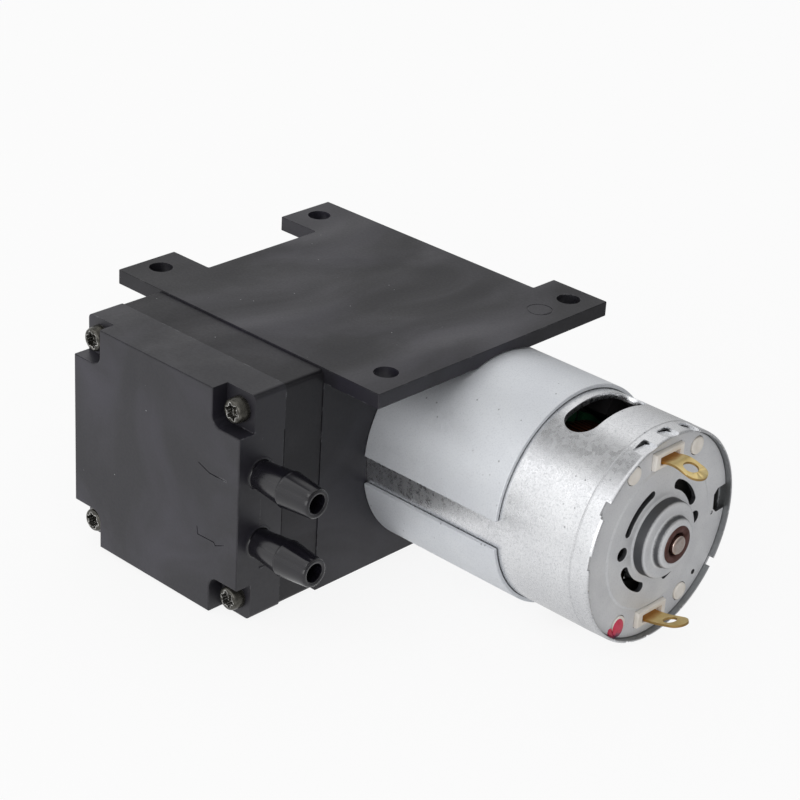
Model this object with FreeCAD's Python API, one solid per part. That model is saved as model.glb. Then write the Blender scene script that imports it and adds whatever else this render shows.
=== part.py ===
import FreeCAD
import Part
import math
import os

# Diaphragm vacuum pump: a brushed motor turns an eccentric in a moulded crankcase, the
# eccentric's bearing drives a connecting rod, and the rod flexes a rubber diaphragm under a
# valve body. A cover with two hose nozzles closes the head, and a plate moulded on top of
# the crankcase carries the pump.
#
# Everything is drawn about the motor shaft: X runs along the shaft towards the terminals,
# the head faces -Y and the mounting plate is on top, at +Z. X is 0 in the middle of the
# head. Before export it all drops by plate_top, so that the origin lies on the mounting face.
# Lengths are in millimetres, and names that end in deg are angles.

# Motor can
can_radius = 17.9
can_length = 57.0
can_wall = 1.0
can_floor = 1.2             # thickness of the can's closed front
can_round = 1.0
motor_reach = 9.0           # from the middle of the head to the can's front
boss_radius = 6.5
front_boss = 4.4
boss_round = 0.4
bearing_pocket = 5.4
front_opening = 2.6         # radius of the hole that the shaft leaves through
window_from_rim = 13.35     # from the can's rim to the middle of the windows
window_width = 5.9
window_half_deg = 27.0      # either side of the top and of the bottom
rim_band = 3.4              # the can narrows a little over this much of its rim
rim_band_step = 0.12
rim_notch_width = 2.0
rim_notch_depth = 0.95
rim_notch_degs = (145.6, 173.6, 325.6)
crimp_width = 2.6           # pierced slots whose edges are pressed over the end plate
crimp_length = 0.9
crimp_from_rim = 1.85
crimp_degs = (73.7, 90.0, 107.6)

# Flux ring, magnets and front bearing
ring_thickness = 0.7
ring_length = 28.3
ring_slack = 0.05
ring_gap_deg = 15.5
ring_gap_at_deg = 182.6
magnet_thickness = 3.25
magnet_deg = 124.0
magnet_from_front = 8.0
magnet_to_rim = 18.0
magnet_slack = 0.05
bearing_slack = 0.05

# End plate
end_recess = 1.0            # from the rim down to the end plate
end_thickness = 1.5
end_slack = 0.05
step_inset = 4.55           # from the can's inner wall to the raised middle of the plate
step_height = 0.25
end_boss = 2.4
collar_radius = 4.25
collar_height = 1.5
collar_round = 0.5
bearing_nose = 3.1
bearing_proud = 0.1
bearing_round = 0.15
bearing_tail = 0.6
vent_circle = 8.6
kidney_width = 1.7
kidney_half_deg = 21.0
kidney_at_deg = 45.0
slit_width = 1.3
slit_half_deg = 24.5
slit_at_deg = 133.5
vent_hole = 1.15
vent_hole_circle = 8.9
edge_notch_depth = 2.7      # notch in the plate's edge, from the can's inner wall
edge_notch_half_deg = 8.5
edge_notch_at_deg = 3.0
pin_hole = 0.5
pin_hole_inset = 1.6
pin_hole_deg = 315.3

# Brush carrier, terminals and brushes
peg_radius = 1.5
peg_inset = 1.75            # from the can's inner wall to the pegs' circle
peg_deg = 59.5
peg_proud = 0.25
carrier_thickness = 2.0
carrier_inset = 6.7
block_half = 3.5            # half the width of the terminals' insulating blocks
block_height = 2.8
block_inset = 1.6
block_proud = 0.8
block_round = 0.3
pocket_half = 2.4           # pocket that each terminal leaves its block through
pocket_height = 1.3
pocket_depth = 0.9
tab_half = 2.05
tab_thickness = 0.4
tab_reach = 7.5             # from the end plate's face to the tab's tip
tab_tail = 6.8              # from the end plate's face back to the tab's inner end
tab_bend_at = 2.6
upper_tab_bend_deg = 14.0
eye_radius = 1.15
eye_from_tip = 3.0
fit_slack = 0.05
brush_gap = 0.1
brush_length = 4.2
brush_half = 1.5
brush_width = 3.4
arm_thickness = 0.3
arm_foot = 1.5

# Shaft and armature
shaft_radius = 1.5875
shaft_rear = 0.65           # the shaft's end past the rear bearing
shaft_front = 16.6          # from the can's front to the shaft's end
shaft_chamfer = 0.3
shaft_running = 0.04        # radial clearance in the bearings
press_slack = 0.01
air_gap = 0.6
core_from_front = 11.0
core_to_rim = 22.0
core_slots = 5
slot_depth = 6.4
slot_half = 3.0
slot_lip = 1.8              # thickness of the teeth's tips
slot_mouth = 0.8
slot_play = 0.15
fibre_thickness = 0.8
fibre_inset = 0.3
front_coil = 4.4
rear_coil = 5.6
coil_inset = 1.1
coil_round = 1.3
coil_to_sleeve = 0.6
sleeve_radius = 3.0
sleeve_overlap = 2.0        # how far each spacer sleeve runs in under the coils
front_play = 0.4
commutator_radius = 4.3
commutator_length = 7.6
commutator_flange = 5.3
commutator_flange_length = 0.8
commutator_from_rim = 4.6
commutator_slit = 0.4
commutator_slit_depth = 0.6

# Crankcase, with the walls it has round the motor
side_wall = 1.7
top_wall = 2.3
bottom_wall = 1.5
head_bottom_wall = 1.3      # the head's layers end this much below the can
head_corner = 0.9           # rounding of the head's four long corners
case_back_round = 6.0
diaphragm_seam = 28.5       # distance from the shaft to the crankcase's front face
partition = 2.9             # wall between the crank chamber and the motor
cap_edge = 2.6              # from the crankcase's side to the cap
cap_ledge = 1.0
cap_thickness = 2.2
cap_slack = 0.05
recess_depth = 8.5          # opening behind the diaphragm
neck_half = 11.2            # slot for the rod, half its height
neck_side = 7.0
seat_slack = 0.05           # radial play between the motor and its seat
edge_round = 0.25

# Mounting plate
plate_above = 2.5           # height of the mounting face above the can
plate_thickness = 2.5
plate_left = -29.5
plate_right = 31.4
plate_back = 20.45
tab_root = -20.75           # where the two tabs at the left end start
front_tab_width = 12.25
rear_tab_width = 11.65
ear_reach = 25.7
ear_left = 19.7
plate_hole = 2.0
tab_hole_side = 3.7         # from the plate's edges to the middles of its four holes
tab_hole_front = 6.1
tab_hole_rear = 5.85
end_hole_side = 4.8
end_hole_front = 6.4
end_hole_rear = 4.3
relief_gap = 0.25           # between the plate and the flux ring under it

# Valve body and cover
valve_body_depth = 7.9
cover_depth = 9.6
layer_inset = 0.15          # the valve body stands back this much from its neighbours
notch_x = 6.3               # screw notch in each corner of the cover
notch_z = 6.4
notch_depth = 3.1
notch_round = 1.8
plenum_edge = 8.0           # from the cover's side to its two air chambers
plenum_height = 11.0
plenum_depth = 7.0
plenum_wall = 1.4           # wall between the two chambers
plenum_round = 1.5
gasket_depth = 0.9          # depth of the groove for the gasket round both chambers
gasket_margin = 1.1         # wall between a chamber and the groove
gasket_width = 1.4
gasket_inner_round = 2.0
gasket_outer_round = 3.0
panel_depth = 0.15          # shallow panel on the cover's side, round the nozzles
panel_front = 41.2          # distance from the shaft to the panel's front edge
panel_top = 12.6
panel_bottom = -10.4

# Nozzles
nozzle_reach = 12.6
nozzle_seat = 41.4          # distance from the shaft to the nozzles' axes
nozzle_mid = 0.4            # height midway between the nozzles
nozzle_pitch = 12.0
nozzle_root = 2.35
nozzle_ridge = 3.05
nozzle_ridge_at = 6.3       # from the cover's side to the ridge
nozzle_land = 0.4           # length of the cylindrical ridge that seals in the hose
nozzle_lip = 0.18           # step at the ridge's near side
nozzle_tip = 2.4
nozzle_tip_round = 0.4
nozzle_bore = 1.55
nozzle_flare = 0.6

# Screws of the head and of the motor
head_screw_edge_x = 3.1     # from the head's side to its screws
head_screw_edge_z = 3.2
head_screw_radius = 1.2
head_screw_head = 2.1
head_screw_head_height = 2.0
head_screw_crown = 0.7      # rounding of the pan head
head_screw_length = 20.0
head_screw_tip = 0.7
head_screw_hole = 1.35
thread_slack = 0.02         # radial play left between a thread and its hole
recess_depth_share = 0.6    # driver recess, as a share of the head's height and radius
recess_slim = 4.5           # a cross recess is this many times longer than it is wide
lobed_reach_share = 0.68    # six-lobed recess, as a share of the head's radius
lobe_share = 0.22           # radius of each lobe, as a share of the recess's reach
motor_screw_edge = 0.8      # from the crank chamber's wall to the motor screws' heads
motor_screw_radius = 1.5
motor_screw_head = 2.7
motor_screw_head_height = 2.0
motor_screw_crown = 0.9
motor_screw_length = 5.4
motor_screw_hole = 1.65
motor_screw_slot = 0.9

# Crank
throw = 2.0                 # eccentricity: half the stroke
rod_width = 5.0
pin_radius = 4.5            # eccentric boss that the bearing sits on
pin_proud = 0.4
inner_ring_radius = 5.5
outer_ring_inner = 7.4
outer_ring_radius = 8.5
ball_count = 9
ball_slack = 0.04
hub_radius = 6.0
hub_width = 4.9
hub_gap = 0.2
shoulder_radius = 5.2
weight_radius = 12.0
weight_half_deg = 65.0
grub_radius = 1.5
grub_length = 3.6
grub_socket = 0.75
grub_socket_depth = 1.2

# Rod and diaphragm
big_end_wall = 2.0
rod_head_radius = 10.0
rod_head_thickness = 2.0
rod_head_round = 0.5
rod_neck_half = 4.0
rod_foot_half = 6.5
rod_flare = 3.0             # length over which the rod widens at each end
rod_boss = 3.6
rod_boss_length = 7.0
web_thickness = 0.8
rim_thickness = 1.2
rim_width = 2.8
rim_slack = 0.05
convolution_inner = 9.9
convolution_sag = 0.9
clamp_gap = 0.05            # play left between the rubber and the discs that clamp it
clamp_radius = 9.5
clamp_thickness = 1.5
clamp_round = 0.4
clamp_screw_radius = 1.5
clamp_screw_head = 2.9
clamp_screw_cone = 1.4
clamp_screw_length = 9.5
clamp_recess_depth = 0.8
thread_end_room = 0.5
chamber_draft = 1.8         # the chamber narrows by this much down to its floor
chamber_clearance = 0.35    # between the clamp disc and the chamber's floor at the top of the stroke

# Umbrella valves
valve_radius = 4.0
valve_thickness = 0.6
valve_edge = 0.2
valve_pocket = 4.4
valve_pocket_depth = 1.2
valve_stem = 0.9
valve_bulb = 1.25
valve_bulb_pocket = 1.6
valve_grip = 1.8
valve_bulb_length = 0.9
port_count = 5
port_radius = 0.7
port_circle = 2.6
stem_slack = 0.05

# Places that follow from the sizes above
past = 1.0                  # how far a cut runs past the face that it opens
half_turns = (0.0, 180.0)
can_inner = can_radius - can_wall
motor_front = motor_reach
rim_x = motor_front + can_length
end_face = rim_x - end_recess
end_inner = end_face - end_thickness
ring_inner = can_radius + ring_slack
ring_radius = ring_inner + ring_thickness
step_radius = can_inner - step_inset
boss_end = end_face + end_boss
bearing_end = boss_end + collar_height + bearing_proud
shaft_end = bearing_end + shaft_rear
shaft_start = motor_front - shaft_front
magnet_inner = can_inner - magnet_slack - magnet_thickness
core_radius = magnet_inner - air_gap
slot_floor = core_radius - slot_depth
slot_top = core_radius - slot_lip
coil_radius = core_radius - coil_inset
magnet_start = motor_front + magnet_from_front
magnet_end = rim_x - magnet_to_rim
core_start = motor_front + core_from_front
core_end = rim_x - core_to_rim
front_coil_end = core_start - fibre_thickness - slot_play
rear_coil_start = core_end + fibre_thickness + slot_play
commutator_end = rim_x - commutator_from_rim
commutator_start = commutator_end - commutator_length
flange_start = commutator_start - commutator_flange_length
brush_middle = (commutator_start + commutator_end) / 2
carrier_start = end_inner - carrier_thickness
block_high = can_inner - block_inset
block_low = block_high - block_height
tab_height = (block_low + block_high) / 2
peg_circle = can_inner - peg_inset
peg_y = peg_circle * math.cos(math.radians(peg_deg))
peg_z = peg_circle * math.sin(math.radians(peg_deg))

head_half = can_radius + side_wall
head_top = can_radius + top_wall
head_bottom = -can_radius - head_bottom_wall
head_mid = (head_top + head_bottom) / 2
case_bottom = -can_radius - bottom_wall
case_back = head_half
plate_top = can_radius + plate_above
plate_under = plate_top - plate_thickness
case_face = -diaphragm_seam
plate_front = case_face
cover_seam = case_face - valve_body_depth
cover_face = cover_seam - cover_depth
notch_floor = cover_face + notch_depth
chamber_right = motor_front - partition
cap_radius = head_half - cap_edge
chamber_radius = cap_radius - cap_ledge
cap_inner = -head_half + cap_thickness
recess_floor = case_face + recess_depth
rim_outer = cap_radius
recess_radius = rim_outer - rim_width
plenum_half = head_half - plenum_edge
motor_screw_place = chamber_radius - motor_screw_edge - motor_screw_head
upper_nozzle = nozzle_mid + nozzle_pitch / 2
lower_nozzle = nozzle_mid - nozzle_pitch / 2

rod_half = rod_width / 2
hub_right = -rod_half - hub_gap
hub_left = hub_right - hub_width
big_end_radius = outer_ring_radius + big_end_wall
web_face = case_face + throw           # the rubber's air side at rest, at the bottom of the stroke
web_back = web_face + web_thickness
clamp_face = web_face - clamp_gap - clamp_thickness
chamber_floor = clamp_face - 2 * throw - chamber_clearance
rod_head_face = web_back + clamp_gap
rod_head_back = rod_head_face + rod_head_thickness
inlet_seat = chamber_floor - valve_pocket_depth
outlet_seat = cover_seam + valve_thickness

head_screw_x = head_half - head_screw_edge_x
head_screw_rise = (head_top - head_bottom) / 2 - head_screw_edge_z
head_screw_places = [
    (x, z)
    for x in (-head_screw_x, head_screw_x)
    for z in (head_mid - head_screw_rise, head_mid + head_screw_rise)
]
plate_hole_places = [
    (plate_left + tab_hole_side, plate_front + tab_hole_front),
    (plate_left + tab_hole_side, plate_back - tab_hole_rear),
    (plate_right - end_hole_side, plate_front + end_hole_front),
    (plate_right - end_hole_side, ear_reach - end_hole_rear),
]

ORIGIN = FreeCAD.Vector(0, 0, 0)
ALONG_X = FreeCAD.Vector(1, 0, 0)
ALONG_Y = FreeCAD.Vector(0, 1, 0)
ALONG_Z = FreeCAD.Vector(0, 0, 1)
TOUCH = 1e-4                # two places closer than this count as the same


def point(x, y, z):
    return FreeCAD.Vector(x, y, z)


def box(x, y, z):
    """A box between the two values given for each axis."""
    return Part.makeBox(x[1] - x[0], y[1] - y[0], z[1] - z[0], point(x[0], y[0], z[0]))


def rod_x(radius, x, y=0.0, z=0.0):
    return Part.makeCylinder(radius, x[1] - x[0], point(x[0], y, z), ALONG_X)


def rod_y(radius, y, x=0.0, z=0.0):
    return Part.makeCylinder(radius, y[1] - y[0], point(x, y[0], z), ALONG_Y)


def rod_z(radius, z, x=0.0, y=0.0):
    return Part.makeCylinder(radius, z[1] - z[0], point(x, y, z[0]), ALONG_Z)


def tube_x(outer, inner, x, y=0.0):
    return rod_x(outer, x, y).cut(rod_x(inner, x, y))


def cut_all(body, cuts):
    for cut in cuts:
        body = body.cut(cut)
    return body


def outline_face(points):
    return Part.Face(Part.makePolygon(points + points[:1]))


def turned_x(profile, y=0.0, z=0.0):
    """Solid of revolution about an axis along X, from (x, radius) pairs."""
    face = outline_face([point(x, radius, 0) for x, radius in profile])
    solid = face.revolve(ORIGIN, ALONG_X, 360)
    solid.translate(point(0, y, z))
    return solid


def turned_y(profile, x=0.0, z=0.0):
    """Solid of revolution about an axis along Y, from (radius, y) pairs."""
    face = outline_face([point(radius, y, 0) for radius, y in profile])
    solid = face.revolve(ORIGIN, ALONG_Y, 360)
    solid.translate(point(x, 0, z))
    return solid


def sector(x, radii, middle, half_span):
    """Part of a ring about the shaft, with angles in degrees from +Y towards +Z."""
    corners = [(x[0], radii[0]), (x[1], radii[0]), (x[1], radii[1]), (x[0], radii[1])]
    face = outline_face([point(along, radius, 0) for along, radius in corners])
    solid = face.revolve(ORIGIN, ALONG_X, 2 * half_span)
    solid.rotate(ORIGIN, ALONG_X, middle - half_span)
    return solid


def about_shaft(shape, angle):
    """A copy of a shape, turned about the shaft."""
    copy = shape.copy()
    copy.rotate(ORIGIN, ALONG_X, angle)
    return copy


def ring_slot(x, circle, width, middle, half_span):
    """Curved slot with round ends, cut along X through a plate."""
    slot = sector(x, (circle - width / 2, circle + width / 2), middle, half_span)
    for side in (-half_span, half_span):
        slot = slot.fuse(about_shaft(rod_x(width / 2, x, circle), middle + side))
    return slot


def edges_along(shape, axis):
    """Straight edges of a shape that run along an axis."""
    chosen = []
    for edge in shape.Edges:
        if len(edge.Vertexes) == 2:
            run = edge.Vertexes[1].Point.sub(edge.Vertexes[0].Point)
            if run.Length > TOUCH and abs(abs(run.dot(axis)) - run.Length) < TOUCH:
                chosen.append(edge)
    return chosen


def edges_at(shape, axis, place):
    """Edges of a shape that lie in the plane at a place along an axis."""
    chosen = []
    for edge in shape.Edges:
        corners = [vertex.Point.dot(axis) for vertex in edge.Vertexes]
        middle = edge.valueAt((edge.FirstParameter + edge.LastParameter) / 2).dot(axis)
        if max(abs(value - place) for value in corners + [middle]) < TOUCH:
            chosen.append(edge)
    return chosen


def rims_at(shape, axis, place, radius):
    """Round edges of a shape, of one radius, in the plane at a place along an axis."""
    return [edge for edge in edges_at(shape, axis, place)
            if hasattr(edge.Curve, "Radius") and abs(edge.Curve.Radius - radius) < TOUCH]


def rounded_block(x, y, z, radius):
    """A box with its four edges along Y rounded."""
    block = box(x, y, z)
    return block.makeFillet(radius, edges_along(block, ALONG_Y))


def mounting_plate():
    """Plate with two tabs at the left end and one ear at the right end's back corner."""
    outline = [
        (plate_left, plate_front),
        (plate_left, plate_front + front_tab_width),
        (tab_root, plate_front + front_tab_width),
        (tab_root, plate_back - rear_tab_width),
        (plate_left, plate_back - rear_tab_width),
        (plate_left, plate_back),
        (ear_left, plate_back),
        (ear_left, ear_reach),
        (plate_right, ear_reach),
        (plate_right, plate_front),
    ]
    face = outline_face([point(x, y, plate_under) for x, y in outline])
    plate = face.extrude(point(0, 0, plate_thickness))
    plate = plate.makeFillet(edge_round, edges_along(plate, ALONG_Z))
    return plate.makeFillet(edge_round / 2, edges_at(plate, ALONG_Z, plate_top))


def crankcase():
    """Moulded crankcase with the motor's seat, the crank chamber and the mounting plate."""
    into_plate = plate_under + plate_thickness / 2
    block = box((-head_half, head_half), (case_face, case_back), (case_bottom, into_plate))
    low_back = [edge for edge in edges_along(block, ALONG_X)
                if edge.Vertexes[0].Y > 0 and edge.Vertexes[0].Z < 0]
    block = block.makeFillet(case_back_round, low_back)
    body = block.fuse(mounting_plate()).removeSplitter()
    through_partition = (chamber_right - past, motor_front + past)
    cuts = [
        rod_x(can_radius + seat_slack, (motor_front, head_half + past)),
        rod_x(chamber_radius, (cap_inner - past, chamber_right)),
        rod_x(cap_radius, (-head_half - past, cap_inner)),
        rod_x(boss_radius + seat_slack, through_partition),
        rod_y(recess_radius, (case_face - past, recess_floor)),
        rod_y(rim_outer, (case_face - past, case_face + rim_thickness)),
        box((-neck_side, chamber_right), (recess_floor - past, 0), (-neck_half, neck_half)),
        rod_x(ring_radius + relief_gap, (head_half, plate_right + past)),
    ]
    for z in (-motor_screw_place, motor_screw_place):
        cuts.append(rod_x(motor_screw_hole, through_partition, 0, z))
    for x, z in head_screw_places:
        depth = (case_face - past, notch_floor + head_screw_length + thread_end_room)
        cuts.append(rod_y(head_screw_radius + thread_slack, depth, x, z))
    for x, y in plate_hole_places:
        cuts.append(rod_z(plate_hole, (plate_under - past, plate_top + past), x, y))
    return cut_all(body, cuts)


def crankcase_cap():
    """Round cap that closes the crank chamber at the end away from the motor."""
    cap = rod_x(cap_radius - cap_slack, (-head_half, cap_inner))
    return cap.makeFillet(edge_round, rims_at(cap, ALONG_X, -head_half, cap_radius - cap_slack))


def head_layer(y, inset):
    """One rounded square slab of the head between two places along Y."""
    x = (-head_half + inset, head_half - inset)
    return rounded_block(x, y, (head_bottom + inset, head_top - inset), head_corner)


def valve_holes(z, y):
    """The stem hole and the ring of ports of one valve, between two places along Y."""
    holes = [rod_y(valve_stem + stem_slack, y, 0, z)]
    for step in range(port_count):
        angle = 2 * math.pi * step / port_count
        up = z + port_circle * math.sin(angle)
        holes.append(rod_y(port_radius, y, port_circle * math.cos(angle), up))
    return holes


def valve_body():
    """Slab with the pumping chamber on one side and the two valve seats."""
    chamber = turned_y([
        (0, case_face + past),
        (recess_radius, case_face + past),
        (recess_radius, case_face),
        (recess_radius - chamber_draft, chamber_floor),
        (0, chamber_floor),
    ])
    to_cover = cover_seam - past
    to_chamber = chamber_floor + past
    cuts = [
        chamber,
        rod_y(valve_pocket, (inlet_seat, to_chamber), 0, upper_nozzle),
        rod_y(valve_bulb_pocket, (to_cover, inlet_seat - valve_grip), 0, upper_nozzle),
        rod_y(valve_pocket, (to_cover, outlet_seat), 0, lower_nozzle),
        rod_y(valve_bulb_pocket, (outlet_seat + valve_grip, to_chamber), 0, lower_nozzle),
    ]
    for z in (upper_nozzle, lower_nozzle):
        cuts += valve_holes(z, (to_cover, to_chamber))
    for x, z in head_screw_places:
        cuts.append(rod_y(head_screw_hole, (to_cover, case_face + past), x, z))
    return cut_all(head_layer((cover_seam, case_face), layer_inset), cuts)


def umbrella_valve(seat, way, z):
    """Rubber umbrella valve: its disc lies on the seat and its stem points along way."""
    profile = [
        (0, -valve_thickness),
        (valve_radius / 2, -valve_thickness),
        (valve_radius, -valve_edge),
        (valve_radius, 0),
        (valve_stem, 0),
        (valve_stem, valve_grip),
        (valve_bulb, valve_grip),
        (valve_stem, valve_grip + valve_bulb_length),
        (0, valve_grip + valve_bulb_length),
    ]
    return turned_y([(radius, seat + way * y) for radius, y in profile], 0, z)


def inlet_valve():
    return umbrella_valve(inlet_seat, -1, upper_nozzle)


def outlet_valve():
    return umbrella_valve(outlet_seat, 1, lower_nozzle)


def gasket_frame(y, slack):
    """Frame that lies round both air chambers."""
    half = plenum_half + gasket_margin
    rise = plenum_wall / 2 + plenum_height + gasket_margin
    inner = rounded_block((-half, half), y, (nozzle_mid - rise, nozzle_mid + rise), gasket_inner_round)
    wide = half + gasket_width - slack
    tall = rise + gasket_width - slack
    outer = rounded_block((-wide, wide), y, (nozzle_mid - tall, nozzle_mid + tall), gasket_outer_round)
    return outer.cut(inner)


def port_gasket():
    return gasket_frame((cover_seam - gasket_depth, cover_seam), fit_slack)


def nozzle(z):
    """Hose nozzle that swells to a short cylindrical ridge and narrows to its tip."""
    root = head_half - past
    ridge = head_half + nozzle_ridge_at
    tip = head_half + nozzle_reach
    foot = nozzle_root + nozzle_flare
    profile = [
        (root, 0),
        (root, foot),
        (head_half - panel_depth, foot),
        (head_half + nozzle_flare / 3, nozzle_root + nozzle_flare / 3),
        (head_half + nozzle_flare, nozzle_root),
        (ridge, nozzle_ridge - nozzle_lip),
        (ridge, nozzle_ridge),
        (ridge + nozzle_land, nozzle_ridge),
        (tip, nozzle_tip),
        (tip, 0),
    ]
    body = turned_x(profile, -nozzle_seat, z)
    return body.makeFillet(nozzle_tip_round, rims_at(body, ALONG_X, tip, nozzle_tip))


def cover_notches():
    """The four corner notches that the screws' heads lie in."""
    notches = []
    middle_y = (cover_face - past, notch_floor)
    for x_side in (-1, 1):
        x_edge = x_side * (head_half - notch_x)
        x = sorted((x_edge, x_side * (head_half + notch_x)))
        for z_side in (-1, 1):
            z_corner = head_mid + z_side * (head_top - head_bottom) / 2
            z = sorted((z_corner - z_side * notch_z, z_corner + z_side * notch_z))
            notches.append(rounded_block(x, middle_y, z, notch_round))
    return notches


def head_cover():
    """Cover with the two air chambers, the nozzles and a screw notch in each corner."""
    body = cut_all(head_layer((cover_face, cover_seam), 0), cover_notches())
    body = body.makeFillet(edge_round, edges_at(body, ALONG_Y, cover_face))
    panel_x = (head_half - panel_depth, head_half + past)
    body = body.cut(box(panel_x, (-panel_front, cover_seam + past), (panel_bottom, panel_top)))
    for z in (upper_nozzle, lower_nozzle):
        body = body.fuse(nozzle(z))
    half_wall = plenum_wall / 2
    cuts = [gasket_frame((cover_seam - gasket_depth, cover_seam + past), 0)]
    for low in (nozzle_mid + half_wall, nozzle_mid - half_wall - plenum_height):
        depth = (cover_seam - plenum_depth, cover_seam + past)
        span = (low, low + plenum_height)
        cuts.append(rounded_block((-plenum_half, plenum_half), depth, span, plenum_round))
    for z in (upper_nozzle, lower_nozzle):
        bore = (plenum_half - past, head_half + nozzle_reach + past)
        cuts.append(rod_x(nozzle_bore, bore, -nozzle_seat, z))
    for x, z in head_screw_places:
        cuts.append(rod_y(head_screw_hole, (notch_floor - past, cover_seam + past), x, z))
    return cut_all(body, cuts)


def cross_recess(y, x, z, depth, reach):
    """Cross-shaped driver recess that opens towards -Y."""
    half = reach / recess_slim
    deep = (y - past, y + depth)
    tall = box((x - half, x + half), deep, (z - reach, z + reach))
    wide = box((x - reach, x + reach), deep, (z - half, z + half))
    return tall.fuse(wide)


def lobed_recess(y, x, z, depth, reach):
    """Six-lobed driver recess that opens towards -Y."""
    deep = (y - past, y + depth)
    lobe = reach * lobe_share
    body = rod_y(reach - lobe, deep, x, z)
    for turn in range(0, 360, 60):
        along = (reach - lobe) * math.cos(math.radians(turn))
        up = (reach - lobe) * math.sin(math.radians(turn))
        body = body.fuse(rod_y(lobe, deep, x + along, z + up))
    return body


def head_screws():
    """Four pan-head screws that hold the head's layers to the crankcase."""
    screws = []
    top = notch_floor - head_screw_head_height
    tip = notch_floor + head_screw_length
    depth = head_screw_head_height * recess_depth_share
    for x, z in head_screw_places:
        head = rod_y(head_screw_head, (top, notch_floor), x, z)
        head = head.makeFillet(head_screw_crown, rims_at(head, ALONG_Y, top, head_screw_head))
        shank = rod_y(head_screw_radius, (notch_floor, tip), x, z)
        shank = shank.makeChamfer(head_screw_tip, rims_at(shank, ALONG_Y, tip, head_screw_radius))
        recess = lobed_recess(top, x, z, depth, head_screw_head * lobed_reach_share)
        screws.append(head.fuse(shank).cut(recess))
    return Part.makeCompound(screws)


def motor_screws():
    """Two slotted screws through the partition into the can's front."""
    screws = []
    top = chamber_right - motor_screw_head_height
    for z in (-motor_screw_place, motor_screw_place):
        head = rod_x(motor_screw_head, (top, chamber_right), 0, z)
        head = head.makeFillet(motor_screw_crown, rims_at(head, ALONG_X, top, motor_screw_head))
        shank = rod_x(motor_screw_radius, (chamber_right, chamber_right + motor_screw_length), 0, z)
        depth = (top - past, top + motor_screw_head_height / 2)
        half = motor_screw_slot / 2
        slot = box(depth, (-half, half), (z - motor_screw_head, z + motor_screw_head))
        screws.append(head.fuse(shank).cut(slot))
    return Part.makeCompound(screws)


def diaphragm():
    """Rubber diaphragm, drawn at the bottom of its stroke, with a rolled convolution."""
    inner = convolution_inner
    outer = recess_radius - rim_slack
    middle = (inner + outer) / 2
    sag = (web_face + case_face) / 2 + convolution_sag
    hole = clamp_screw_radius + clamp_gap
    rim = rim_outer - rim_slack
    rim_back = case_face + rim_thickness
    outer_back = case_face + web_thickness
    roll_face = [point(inner, web_face, 0), point(middle, sag, 0), point(outer, case_face, 0)]
    roll_back = [point(outer, outer_back, 0), point(middle, sag + web_thickness, 0), point(inner, web_back, 0)]
    rim_corners = [roll_face[2], point(rim, case_face, 0), point(rim, rim_back, 0),
                   point(outer, rim_back, 0), roll_back[0]]
    hub_corners = [roll_back[2], point(hole, web_back, 0), point(hole, web_face, 0), roll_face[0]]
    outline = [Part.Arc(*roll_face).toShape()]
    outline += [Part.makeLine(a, b) for a, b in zip(rim_corners, rim_corners[1:])]
    outline.append(Part.Arc(*roll_back).toShape())
    outline += [Part.makeLine(a, b) for a, b in zip(hub_corners, hub_corners[1:])]
    return Part.Face(Part.Wire(outline)).revolve(ORIGIN, ALONG_Y, 360)


def clamp_disc():
    """Disc on the air side that clamps the diaphragm to the rod."""
    back = clamp_face + clamp_thickness
    bore = clamp_screw_radius + fit_slack
    disc = turned_y([
        (clamp_screw_head, clamp_face),
        (clamp_radius, clamp_face),
        (clamp_radius, back),
        (bore, back),
        (bore, clamp_face + clamp_screw_cone),
    ])
    return disc.makeFillet(clamp_round, rims_at(disc, ALONG_Y, clamp_face, clamp_radius))


def diaphragm_screw():
    """Countersunk screw through the clamp disc and the diaphragm into the rod."""
    tip = clamp_face + clamp_screw_length
    screw = turned_y([
        (0, clamp_face),
        (clamp_screw_head - fit_slack, clamp_face),
        (clamp_screw_radius, clamp_face + clamp_screw_cone),
        (clamp_screw_radius, tip),
        (0, tip),
    ])
    return screw.cut(cross_recess(clamp_face, 0, 0, clamp_recess_depth, clamp_screw_radius))


def connecting_rod():
    """Rod with a round head under the diaphragm and a big end round the bearing."""
    head = rod_y(rod_head_radius, (rod_head_face, rod_head_back))
    head = head.makeFillet(rod_head_round, rims_at(head, ALONG_Y, rod_head_back, rod_head_radius))
    root = rod_head_back - rod_head_round
    eye = throw - big_end_radius + rod_neck_half
    half_outline = [
        (root, rod_foot_half),
        (root + rod_flare, rod_neck_half),
        (eye - rod_flare / 2, rod_neck_half),
        (eye + rod_flare / 2, rod_foot_half),
    ]
    other_half = [(y, -z) for y, z in reversed(half_outline)]
    face = outline_face([point(-rod_half, y, z) for y, z in half_outline + other_half])
    rod = head.fuse(face.extrude(point(rod_width, 0, 0)))
    rod = rod.fuse(rod_y(rod_boss, (root, rod_head_back + rod_boss_length)))
    rod = rod.fuse(rod_x(big_end_radius, (-rod_half, rod_half), throw))
    seat = rod_x(outer_ring_radius + press_slack, (-rod_half - past, rod_half + past), throw)
    thread_end = clamp_face + clamp_screw_length + thread_end_room
    thread = rod_y(clamp_screw_radius + thread_slack, (rod_head_face - past, thread_end))
    return cut_all(rod, [seat, thread]).removeSplitter()


def bearing_outer_ring():
    return tube_x(outer_ring_radius, outer_ring_inner, (-rod_half, rod_half), throw)


def bearing_inner_ring():
    return tube_x(inner_ring_radius, pin_radius + press_slack, (-rod_half, rod_half), throw)


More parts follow.
